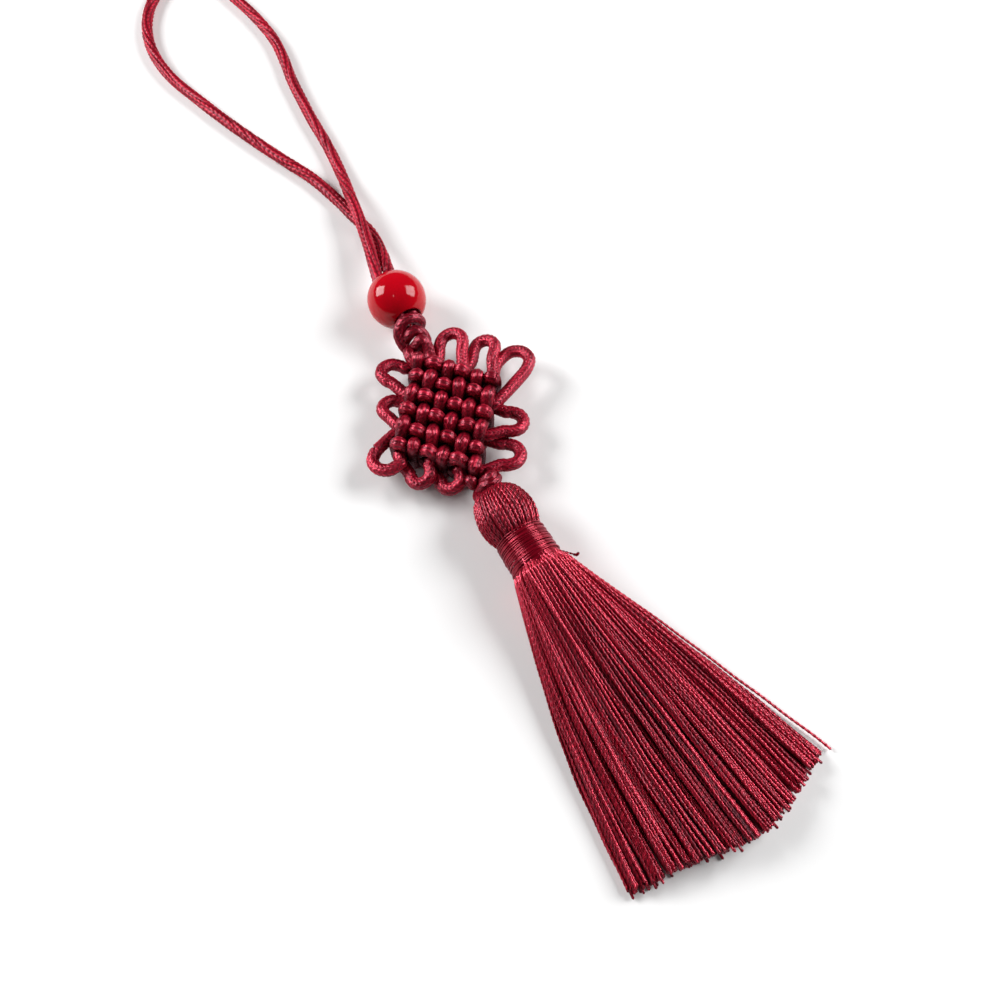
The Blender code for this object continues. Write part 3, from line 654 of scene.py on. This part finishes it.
def twisted_threads(paths, radius, pitch, uneven, plies, domed=0.6):
    """Mesh of two-ply threads along paths, an array (threads, steps, 3), and its painted shade and grain.

    The section has two raised lobes and turns once in each pitch, so its vertices run along the plies.
    radius is per thread and step, plies is the section's outline as shares of it, and uneven turns each
    thread's start by a random angle.
    """
    count = len(paths)
    length = np.linalg.norm(np.diff(paths, axis=1), axis=2)
    along = np.concatenate([np.zeros((count, 1)), np.cumsum(length, axis=1)], axis=1)
    section = 2 * math.pi * np.arange(len(plies)) / len(plies)
    first = uneven.uniform(0, 2 * math.pi, count)[:, None, None]
    turn = 2 * math.pi * (along / pitch)[..., None] + first + section
    across, square = bundle_frames(paths)
    reach = radius[..., None] * plies
    wide, high = reach * np.cos(turn), reach * np.sin(turn)
    surface = section_points(paths, across, square, wide, high)
    # Painted shade between the plies: full colour on the lobes, none at the waists
    raised = (plies - plies.min()) / (plies.max() - plies.min())
    start = uneven.uniform(0, 1, count)[:, None]
    grain = grain_points(reach * np.cos(section), reach * np.sin(section), along + start)
    attributes = {
        "relief_shade": with_caps(np.broadcast_to(raised, surface.shape[:3]), 0.5),
        "grain": with_caps(grain),
    }
    return tube_bundle(surface, domed), attributes


def tassel_points(along, aside, height):
    """Points this far down the tassel's axis, to its side and up."""
    forward = np.array([math.sin(TASSEL_LEAN), -math.cos(TASSEL_LEAN), 0.0])
    side = np.array([math.cos(TASSEL_LEAN), math.sin(TASSEL_LEAN), 0.0])
    along, aside, height = (part[..., None] for part in np.broadcast_arrays(along, aside, height))
    return np.array([*HEAD_TOP, 0.0]) + along * forward + aside * side + height * UP


def skirt_threads(name, common, share, end_share, depth, above, pile, beyond, twisted, more_bulge=0.0):
    """A piece of threads from the neck to the skirt's end.

    share is a thread's place across the skirt at its root, from -1 to 1, a quarter turn to each side of the
    top, and end_share at its tip. Its root lies depth inside the neck's surface. x eases from root to tip
    with a bulge of sin(pi t), and z falls from the neck to the pile as (1 - t)^SKIRT_FALL. A thread that
    isn't twisted is one of the many under the top ones, and has few faces. common is what all layers share:
    the sizes, the material, the random draws, and the clumps' places, lifts and tones.
    """
    sizes, material, uneven, clumps, clump_lift, clump_tone = common
    radius = sizes.tassel_thread / 2
    step = sizes.thread_pitch / THREAD_RINGS if twisted else HIDDEN_STEP
    pitch, plies = (sizes.thread_pitch, TWO_PLY) if twisted else (ENDLESS_PITCH, ONE_PLY)
    count = len(share)
    nearest = np.abs(end_share[:, None] - clumps).argmin(axis=1)
    pulled = end_share + CLUMP_PULL * (clumps[nearest] - end_share)
    gathered = np.where(np.abs(end_share) > UNGATHERED, end_share, pulled)
    across = (gathered[:, None] + 1) / 2
    tip_x = SKIRT_EDGE_X[0] + (SKIRT_EDGE_X[-1] - SKIRT_EDGE_X[0]) * across[:, 0]
    tip_y = np.interp(tip_x, SKIRT_EDGE_X, SKIRT_EDGE_Y) - beyond
    bow = np.sqrt(np.clip(1 - gathered**2, 0, 1))
    tip_z = radius + np.maximum(0, pile * bow + (above > 0) * clump_lift[nearest] * bow)
    shiny = (uneven.uniform(0, 1, count) < SHINY_SHARE) * (above > 0)
    tip_z += SHINY_LIFT * shiny
    depth = depth - SHINY_LIFT * shiny
    phi = share * math.pi / 2
    within = np.linspace(0, 1, NECK_STEPS, endpoint=False)
    lane = BINDING_TO - NECK_INSIDE + within * NECK_LENGTH
    root = (NECK_RADIUS - depth)[:, None] + (SKIRT_ROOT_RADIUS - NECK_RADIUS) * within**2
    height = BINDING_HEIGHTS[1] + root * np.cos(phi)[:, None] * above
    neck = tassel_points(lane, root * np.sin(phi)[:, None], height)
    reach = SKIRT_ROOT_RADIUS - depth
    height = BINDING_HEIGHTS[1] + reach * np.cos(phi) * above
    start = tassel_points(BINDING_TO + NECK_OUTSIDE, reach * np.sin(phi), height)
    t = np.linspace(0, 1, round(SKIRT_LENGTH / step))
    arch = np.sin(math.pi * t)
    bulge = (SKIRT_BULGE[0] * (1 - across) + SKIRT_BULGE[1] * across + more_bulge) * arch
    wave = uneven.uniform(0, 2 * math.pi, (count, 3, 1))
    slow, quick, lift = (far * np.sin(fast * t + wave[:, k]) for k, (far, fast) in enumerate(SWAYS))
    sway = (slow + quick) * np.sin(math.pi * t / 2)
    x = start[:, :1] + (tip_x[:, None] - start[:, :1]) * t + bulge + sway
    y = start[:, 1:2] + (tip_y[:, None] - start[:, 1:2]) * t
    z = tip_z[:, None] + (start[:, 2:] - tip_z[:, None]) * (1 - t) ** SKIRT_FALL
    z = np.maximum(z + lift * arch * bow[:, None], radius)
    keep = max(1, round(step / (NECK_LENGTH / NECK_STEPS)))
    paths = np.concatenate([neck[:, ::keep], np.stack([x, y, z], axis=-1)], axis=1)
    thick = radius * np.broadcast_to(uneven.uniform(*THICKNESS_SPREAD, count)[:, None], paths.shape[:2])
    surface, attributes = twisted_threads(paths, thick, pitch, uneven, plies)
    # Tone: random by thread and clump, plus painted light on the shiny threads and painted shade by depth
    tone = uneven.normal(0, THREAD_TONE, count) + clump_tone[nearest]
    tone += SHINY_PAINTED_LIGHT * shiny - DEPTH_SHADE * np.mean(depth)
    from_root = np.r_[0, np.cumsum(np.linalg.norm(np.diff(paths, axis=1), axis=2).mean(axis=0))]
    # Painted light near the neck, fading down the skirt
    near_neck = NECK_LIGHT * np.exp(-np.maximum(from_root - NECK_LIGHT_FROM, 0) / NECK_LIGHT_FADE)
    shape = (*paths.shape[:2], len(plies))
    tones = np.broadcast_to(tone[:, None, None] + near_neck[None, :, None], shape)
    attributes["tone"] = with_caps(tones)
    new_piece(name, surface, material, attributes, ["tassel"])


# Materials


def wire(tree, node, inputs):
    """Give each of these inputs of a node its value, or link it to its socket."""
    for label, value in inputs.items():
        if isinstance(value, bpy.types.NodeSocket):
            tree.links.new(value, node.inputs[label])
        else:
            node.inputs[label].default_value = value


def new_node(tree, kind, inputs, **settings):
    """Outputs of a new shader node of this kind, with these settings and inputs."""
    node = tree.nodes.new("ShaderNode" + kind)
    for label, value in settings.items():
        setattr(node, label, value)
    wire(tree, node, inputs)
    return node.outputs


def math_node(tree, operation, *values):
    """Result of a Math node of these values, each a number or a socket."""
    return new_node(tree, "Math", dict(enumerate(values)), operation=operation)[0]


def mix_node(tree, factor, a, b):
    """The colour this far from a to b."""
    return new_node(tree, "Mix", {"Factor": factor, "A": a, "B": b}, data_type="RGBA")["Result"]


def noise_node(tree, vector, scale, detail):
    """Noise from 0 to 1 at this vector."""
    return new_node(tree, "TexNoise", {"Vector": vector, "Scale": scale, "Detail": detail})["Fac"]


def attribute_node(tree, name):
    """The mesh's own attribute, with its value and its vector."""
    return new_node(tree, "Attribute", {}, attribute_name=name)


def new_group(name, inputs, outputs):
    """A shader node group, its given values and its result.

    An input's default tells its kind: a tuple is a colour, a number a value, and None a vector.
    """
    group = bpy.data.node_groups.new(name, "ShaderNodeTree")
    kinds = {tuple: "NodeSocketColor", float: "NodeSocketFloat", type(None): "NodeSocketVector"}
    for label, default in inputs.items():
        socket = group.interface.new_socket(name=label, in_out="INPUT", socket_type=kinds[type(default)])
        if default is not None:
            socket.default_value = default
    for label, kind in outputs.items():
        group.interface.new_socket(name=label, in_out="OUTPUT", socket_type=kinds[kind])
    return group, group.nodes.new("NodeGroupInput").outputs, group.nodes.new("NodeGroupOutput")


def thread_shade_group():
    """Colour and roughness of fibres.

    They get painted shade in the grooves, are streaked along the thread, and are toned thread by thread, the
    lightest glossier and drawn towards the Light colour, a painted highlight.
    """
    inputs = {
        "Colour": (0.4, 0.01, 0.05, 1),
        "Painted Shade": (0.05, 0, 0.01, 1),
        # Painted highlight colour: pink, towards which lighter tones are drawn
        "Light": (0.75, 0.09, 0.14, 1),
        "Relief Shade": 0.5,
        "Tone": 0.0,
        "Grain": None,
        "Streak Scale": 1500.0,
        "Roughness": 0.3,
    }
    group, given, result = new_group("Thread Shade", inputs, {"Colour": tuple, "Roughness": float})
    tone = given["Tone"]
    streaks = noise_node(group, given["Grain"], given["Streak Scale"], 3.0)
    # Painted shade: the colour falls towards the shade colour as the height falls
    raised = math_node(group, "POWER", given["Relief Shade"], RELIEF_POWER)
    shade = mix_node(group, raised, given["Painted Shade"], given["Colour"])
    toned = math_node(group, "MULTIPLY_ADD", streaks, STREAK_GAIN, tone)
    scaled = new_node(group, "VectorMath", {0: shade, "Scale": toned}, operation="SCALE")[0]
    # Painted highlight: the lighter the tone, the more of the Light colour
    lit = mix_node(group, math_node(group, "MULTIPLY", tone, LIGHT_BY_TONE), scaled, given["Light"])
    rough = math_node(group, "MULTIPLY_ADD", streaks, ROUGH_BY_STREAK, -ROUGH_BY_STREAK / 2)
    rough = math_node(group, "MULTIPLY_ADD", tone, ROUGH_BY_TONE, rough)
    rough = math_node(group, "ADD", rough, given["Roughness"])
    wire(group, result, {"Colour": lit, "Roughness": math_node(group, "MAXIMUM", rough, LEAST_ROUGH)})
    return group


def filament_group():
    """Height of the fine filaments: noise drawn out along the thread."""
    group, given, result = new_group("Filaments", {"Grain": None, "Scale": 6500.0}, {"Height": float})
    wire(group, result, {"Height": noise_node(group, given["Grain"], given["Scale"], 2.0)})
    return group


def new_material(name):
    """A new material, its node tree and its shader."""
    material = bpy.data.materials.new(name)
    material.use_nodes = True
    return material, material.node_tree, material.node_tree.nodes["Principled BSDF"]


def fibre_material(name):
    """Satin of silk-like fibres, coloured by the Thread Shade group and grained by the Filaments group."""
    found = bpy.data.materials.get(name)
    if found:
        return found
    colours = bpy.context.scene.pendant_colours
    raised, deep, roughness, metallic, specular, bump = FIBRES[name]
    material, tree, shader = new_material(name)
    grain = attribute_node(tree, "grain")["Vector"]
    given = {
        "Colour": (*getattr(colours, raised), 1),
        "Painted Shade": (*getattr(colours, deep), 1),
        "Roughness": roughness,
        "Relief Shade": attribute_node(tree, "relief_shade")["Fac"],
        "Tone": attribute_node(tree, "tone")["Fac"],
        "Grain": grain,
    }
    shade_group = bpy.data.node_groups.get("Thread Shade") or thread_shade_group()
    shade = new_node(tree, "Group", given, node_tree=shade_group)
    filaments = bpy.data.node_groups.get("Filaments") or filament_group()
    height = new_node(tree, "Group", {"Grain": grain}, node_tree=filaments)["Height"]
    bumped = new_node(tree, "Bump", {"Distance": bump, "Strength": FILAMENT_STRENGTH, "Height": height})
    inputs = {
        "Base Color": shade["Colour"],
        "Roughness": shade["Roughness"],
        "Metallic": metallic,
        "Specular IOR Level": specular,
        "Specular Tint": FIBRE_GLINT,
        "Normal": bumped["Normal"],
    }
    wire(tree, shader, inputs)
    return material


def bead_material():
    """Glossy red with faint clouds under the lacquer, which change its roughness a little too."""
    material, tree, shader = new_material("bead_lacquer")
    place = new_node(tree, "TexCoord", {})["Object"]
    clouds = noise_node(tree, place, BEAD_CLOUDS, 4.0)
    red = bpy.context.scene.pendant_colours.bead
    darker, lighter = ((*(tone * part for part in red), 1) for tone in BEAD_TONES)
    inputs = {
        "Base Color": mix_node(tree, clouds, darker, lighter),
        "Roughness": math_node(tree, "MULTIPLY_ADD", clouds, *BEAD_ROUGHNESS),
        "IOR": 1.45,
        "Specular IOR Level": 0.30,
        "Subsurface Weight": 0.15,
        "Subsurface Radius": (0.0012, 0.0002, 0.0002),
    }
    wire(tree, shader, inputs)
    return material


# Operators


class TASSEL_OT_stage(bpy.types.Operator):
    """Pale floor, soft lights from both sides, and the camera"""

    bl_idname = "tassel.stage"
    bl_label = "Studio"

    def execute(self, context):
        scene = context.scene
        floor = bpy.data.meshes.new("floor")
        corners = [(x * FLOOR_REACH, y * FLOOR_REACH, 0) for x, y in ((-1, -1), (1, -1), (1, 1), (-1, 1))]
        floor.from_pydata(corners, [], [(0, 1, 2, 3)])
        paper, tree, shader = new_material("floor_paper")
        grey = (*scene.pendant_colours.floor, 1)
        wire(tree, shader, {"Base Color": grey, "Roughness": 0.7, "Specular IOR Level": 0.2})
        floor.materials.append(paper)
        new_object("floor", floor)

        world = bpy.data.worlds.new("studio")
        world.use_nodes = True
        sky = world.node_tree.nodes["Background"]
        wire(world.node_tree, sky, {"Color": (1.0, 1.0, 1.0, 1), "Strength": SKY_STRENGTH})
        scene.world = world

        for name, direction, distance, size, power in LIGHTS:
            lamp = bpy.data.lights.new(name, "AREA")
            lamp.shape = "RECTANGLE"
            lamp.size, lamp.size_y = size
            lamp.energy = power
            light = new_object(name, lamp)
            light.location = PLACE + np.array(direction) / np.linalg.norm(direction) * distance
            light.rotation_mode = "QUATERNION"
            light.rotation_quaternion = (light.location - Vector(PLACE)).to_track_quat("Z", "Y")

        lens = bpy.data.cameras.new("camera")
        lens.sensor_width = 36
        lens.lens = CAMERA_LENS
        lens.clip_start, lens.clip_end = 0.001, 20
        camera = new_object("camera", lens)
        camera.location = PLACE + np.array(CAMERA_PLACE)
        camera.rotation_euler = CAMERA_TURN
        scene.camera = camera
        scene.view_settings.view_transform = "Standard"
        return {"FINISHED"}


class TASSEL_OT_loop(bpy.types.Operator):
    """The hanging loop: one free braided cord, both ends in the bead's bore"""

    bl_idname = "tassel.loop"
    bl_label = "Hanging loop"

    def execute(self, context):
        sizes = context.scene.pendant_sizes
        path = curve_through(LOOP_ROUTE, sizes.loop_stitch / LOOP_RINGS)
        form = (sizes.loop_cord, sizes.loop_cord, sizes.loop_depth, 1.0)
        material = fibre_material("loop_cord_satin")
        look = (sizes.loop_stitch, LOOP_BRAID, material)
        cord = braided_cord("loop_cord", path, form, look, ["hanging_loop"])
        return {"FINISHED"}


class TASSEL_OT_bead(bpy.types.Operator):
    """The round bead with its bore, rounded lips and worn underside"""

    bl_idname = "tassel.bead"
    bl_label = "Bead"

    def execute(self, context):
        """A profile turned round the bore's axis: an arc of the ball, a lip, the bore's wall and a lip.

        With s the angle from the axis, the arc is R (sin s, cos s); the lip eases from there into the wall's
        radius. Below the worn flat, heights are raised to it.
        """
        edge = math.asin((BORE_RADIUS + BEAD_LIP) / BEAD_RADIUS)
        arc = np.linspace(edge, math.pi - edge, BEAD_ARC)
        outer = np.stack([BEAD_RADIUS * np.sin(arc), BEAD_RADIUS * np.cos(arc)], axis=1)
        ease = np.linspace(0, math.pi / 2, LIP_STEPS)[1:]
        mouth = BEAD_RADIUS * math.cos(edge)
        lip = [BORE_RADIUS + BEAD_LIP * (1 - np.sin(ease)), -mouth + BEAD_LIP * (1 - np.cos(ease))]
        lower = np.stack(lip, axis=1)
        upper = lower[::-1] * [1, -1]
        heights = np.linspace(-mouth + BEAD_LIP, mouth - BEAD_LIP, WALL_STEPS)[1:-1]
        wall = np.stack([np.full(len(heights), BORE_RADIUS), heights], axis=1)
        profile = np.concatenate([outer, lower, wall, upper])
        turns = 2 * math.pi * np.arange(BEAD_TURNS) / BEAD_TURNS
        x = profile[None, :, 0] * np.sin(turns)[:, None]
        z = profile[None, :, 0] * np.cos(turns)[:, None]
        y = np.broadcast_to(profile[:, 1], x.shape)
        z = np.maximum(z, -BEAD_HEIGHT) + BEAD_HEIGHT
        points = np.stack([x, y, z], axis=-1).reshape(-1, 3)
        quads = tube_faces(len(turns), len(profile), wrap=True)
        material = bead_material()
        surface = (points, quads, np.zeros((0, 3), int))
        new_piece("bead_ball", surface, material, {}, ["bead"])
        return {"FINISHED"}


class TASSEL_OT_knot(bpy.types.Operator):
    """Both braided strands, through the upper knot, the lattice with its ears and the lower knot"""

    bl_idname = "tassel.knot"
    bl_label = "Knotted cord"

    def execute(self, context):
        sizes = context.scene.pendant_sizes
        material = fibre_material("knot_cord_satin")
        for name, kinds, lines, sides, *rest in (
            ("first_strand", ("column", "row"), (2, 4, 6), ("top", "right"), *FIRST_STRAND),
            ("second_strand", ("row", "column"), (1, 3, 5), ("left", "bottom"), *SECOND_STRAND),
        ):
            bights = [(kinds[0], line, 1, LINES) for line in lines]
            bights += [(kinds[1], line, LINES, 1) for line in lines]
            sides = [side for side in sides for _ in range(LINES - 1)]
            route = curve_through(strand_route(bights, sides, *rest), sizes.knot_stitch / KNOT_RINGS)
            path, held = route[:, :3], np.clip(route[:, 3], -1, 1)
            laced, tight = np.maximum(held, 0), np.abs(held)
            level = np.abs(path[:, 2] - KNOT_HEIGHT)
            swell = (level / FRONT_LEVELS[0] - SWELL_FROM) * LACED_SWELL * laced
            widths = sizes.knot_cord + (sizes.laced_width - sizes.knot_cord) * tight + swell
            thicknesses = sizes.knot_cord + (sizes.laced_thickness - sizes.knot_cord) * tight + swell
            depths = sizes.knot_depth * (1 - TIGHTENED * tight)
            # Painted shade: a laced cord darker the deeper it lies in the knot, and the connection knots
            # darker still
            depth_in_knot = np.clip((FRONT_LEVELS[0] - level) / FRONT_LEVELS[0], 0, 1)
            shades = 1 - laced * np.minimum(TOP_SHADE + SHADE_BY_DEPTH * depth_in_knot, MOST_SHADE)
            shades -= CONNECTION_SHADE * np.maximum(-held, 0)
            form = (widths, thicknesses, depths, shades)
            braided_cord(name, path, form, (sizes.knot_stitch, KNOT_BRAID, material), ["knot_cord"])
        return {"FINISHED"}


class TASSEL_OT_head(bpy.types.Operator):
    """The tassel's head: two-ply threads folded over the strands' ends, on a core darkened by painted shade
    """

    bl_idname = "tassel.head"
    bl_label = "Tassel head"

    def execute(self, context):
        """A thread runs down the head's profile at its own angle; the core is a smaller profile, turned."""
        sizes = context.scene.pendant_sizes
        material = fibre_material("tassel_thread_satin")
        along, radius, height = curve_through(HEAD_PROFILE, HEAD_STEP).T
        count = sizes.head_threads
        uneven = np.random.default_rng(HEAD_SEED)
        angles = 2 * math.pi * (np.arange(count) + uneven.uniform(-HEAD_JITTER, HEAD_JITTER, count)) / count
        slant = uneven.normal(HEAD_SLANT, SLANT_SPREAD, count)
        turn = angles[:, None] + slant[:, None] * along / along.max()
        thick = np.minimum(sizes.head_thread / 2, 2 * math.pi * radius / count * HEAD_FILL)
        reach = radius - thick + uneven.uniform(*HEAD_UNEVEN, count)[:, None]
        paths = tassel_points(along, reach * np.cos(turn), height + reach * np.sin(turn))
        thickness = np.broadcast_to(thick, turn.shape)
        surface, attributes = twisted_threads(paths, thickness, HEAD_PITCH, uneven, TWO_PLY)
        attributes["tone"] = np.repeat(uneven.normal(0, HEAD_TONE, count), len(surface[0]) // count)
        new_piece("head_threads", surface, material, attributes, ["tassel"])
        turns = 2 * math.pi * np.arange(CORE_SIDES) / CORE_SIDES
        along, radius, height = np.split(curve_through(HEAD_PROFILE[2:], CORE_STEP), 3, axis=1)
        inside = radius - CORE_INSET
        surface = tassel_points(along, inside * np.cos(turns), height + inside * np.sin(turns))
        surface = tube_bundle(surface[None, :, ::-1])
        # Painted shade on the core, which shows between the head's threads
        dim = {"relief_shade": np.full(len(surface[0]), CORE_SHADE)}
        new_piece("head_core", surface, material, dim)
        return {"FINISHED"}


class TASSEL_OT_binding(bpy.types.Operator):
    """Fine shiny thread wound round the neck, with its loose end"""

    bl_idname = "tassel.binding"
    bl_label = "Neck binding"

    def execute(self, context):
        """Each winding is a helix down the neck, its pitch and radius wandering a little with the angle."""
        sizes = context.scene.pendant_sizes
        material = fibre_material("binding_thread_gloss")
        uneven = np.random.default_rng(BINDING_SEED)
        side = 2 * math.pi * np.arange(BINDING_SIDES) / BINDING_SIDES
        for layer, (lift, wander, inset) in enumerate(WINDINGS):
            turns = OVER_TURNS if layer else sizes.binding_turns
            t = np.linspace(0, 1, turns * BINDING_STEPS)
            angle = 2 * math.pi * turns * t + layer
            knots = np.linspace(0, 1, turns * STRAYS_PER_TURN)
            sway = np.interp(t, knots, uneven.normal(0, 1, len(knots)))
            swell = np.interp(t, knots[::2], uneven.normal(0, 1, len(knots[::2])))
            along = BINDING_FROM + inset + (BINDING_TO - BINDING_FROM - 2 * inset) * t + wander * sway
            reach = BINDING_RADIUS - BINDING_DEPTH + lift + BINDING_UNEVEN * swell + BINDING_FLARE * t
            height = np.interp(along, (BINDING_FROM, BINDING_TO), BINDING_HEIGHTS)
            path = tassel_points(along, reach * np.cos(angle), height + reach * np.sin(angle))
            tangent = directions(path)
            radial = square_to(tangent, path - tassel_points(along, 0, BINDING_HEIGHTS[1]))
            wide, high = BINDING_THREAD[0] * np.cos(side), BINDING_THREAD[1] * np.sin(side)
            surface = section_points(path, np.cross(tangent, radial), radial, wide, high)
            # Painted shade: full colour outside the winding, darker towards the neck
            raised = np.broadcast_to(BINDING_RELIEF + (1 - BINDING_RELIEF) * np.sin(side), surface.shape[:2])
            wide, high = BINDING_GRAIN * np.cos(side), BINDING_GRAIN * np.sin(side)
            grain = grain_points(wide, high, lengths_along(path))
            attributes = {"relief_shade": with_caps(raised[None]), "grain": with_caps(grain[None])}
            name, surface = f"binding_turns_{layer + 1}", tube_bundle(surface[None])
            new_piece(name, surface, material, attributes, ["neck_binding"])
        route = curve_through(LOOSE_END, LOOSE_STEP)
        share = np.linspace(0, 1, len(route))
        more, middle, spread = LOOSE_KNOT
        thick = LOOSE_RADIUS + more * np.exp(-(((share - middle) / spread) ** 2))
        thick += LOOSE_WAVES[0] * np.sin(share * LOOSE_WAVES[1])
        surface, attributes = twisted_threads(route[None], thick[None], LOOSE_PITCH, uneven, TWO_PLY)
        new_piece("loose_end", surface, material, attributes)
        return {"FINISHED"}


class TASSEL_OT_skirt(bpy.types.Operator):
    """The skirt's threads, fanned out on the floor with ragged ends"""

    bl_idname = "tassel.skirt"
    bl_label = "Skirt"

    def execute(self, context):
        sizes = context.scene.pendant_sizes
        material = fibre_material("tassel_thread_satin")
        uneven = np.random.default_rng(SKIRT_SEED)
        clumps = np.sort(uneven.uniform(-1.0, 1.0, CLUMPS))
        lifts = uneven.normal(0, CLUMP_LIFT, CLUMPS)
        tones = uneven.normal(0, CLUMP_TONE, CLUMPS)
        common = (sizes, material, uneven, clumps, lifts, tones)
        for name, count, inside, above, pile, twisted in SKIRT_LAYERS:
            even = (np.arange(count) + 0.5) / count * 2 - 1
            share = np.clip(even + uneven.normal(0, SPACING_JITTER, count), -1, 1)
            depth = inside + sizes.tassel_thread * (np.arange(count) % STAGGER_OF) * STAGGER
            ragged = uneven.uniform(-RAGGED, RAGGED, count)
            ragged += np.where(uneven.uniform(0, 1, count) < LONG_SHARE, LONG_BY, 0)
            skirt_threads(name, common, share, share, depth, above, pile, ragged, twisted)
        share, end_share, depth, beyond, bulge = np.array(STRAYS).T
        across = (share, end_share, depth, 1.0, STRAY_PILE, beyond, True, bulge[:, None])
        skirt_threads("skirt_strays", common, *across)
        return {"FINISHED"}


class TASSEL_PT_panel(bpy.types.Panel):
    """Steps of the pendant in the 3D view's sidebar"""

    bl_idname = "TASSEL_PT_panel"
    bl_label = "Silk Tassel Pendant"
    bl_space_type = "VIEW_3D"
    bl_region_type = "UI"
    bl_category = "Tassel"

    def draw(self, context):
        for step in STEPS:
            self.layout.operator(step.bl_idname)
        for group in (context.scene.pendant_sizes, context.scene.pendant_colours):
            for name in group.__annotations__:
                self.layout.prop(group, name)


STEPS = (
    TASSEL_OT_stage,
    TASSEL_OT_loop,
    TASSEL_OT_bead,
    TASSEL_OT_knot,
    TASSEL_OT_head,
    TASSEL_OT_binding,
    TASSEL_OT_skirt,
)
CLASSES = (PendantSizes, PendantColours, *STEPS, TASSEL_PT_panel)


def register():
    for each in CLASSES:
        bpy.utils.register_class(each)
    bpy.types.Scene.pendant_sizes = bpy.props.PointerProperty(type=PendantSizes)
    bpy.types.Scene.pendant_colours = bpy.props.PointerProperty(type=PendantColours)


def unregister():
    del bpy.types.Scene.pendant_colours
    del bpy.types.Scene.pendant_sizes
    for each in reversed(CLASSES):
        bpy.utils.unregister_class(each)


def main():
    register()
    bpy.ops.tassel.stage()
    bpy.ops.tassel.loop()
    bpy.ops.tassel.bead()
    bpy.ops.tassel.knot()
    bpy.ops.tassel.head()
    bpy.ops.tassel.binding()
    bpy.ops.tassel.skirt()


if __name__ == "__main__":
    main()
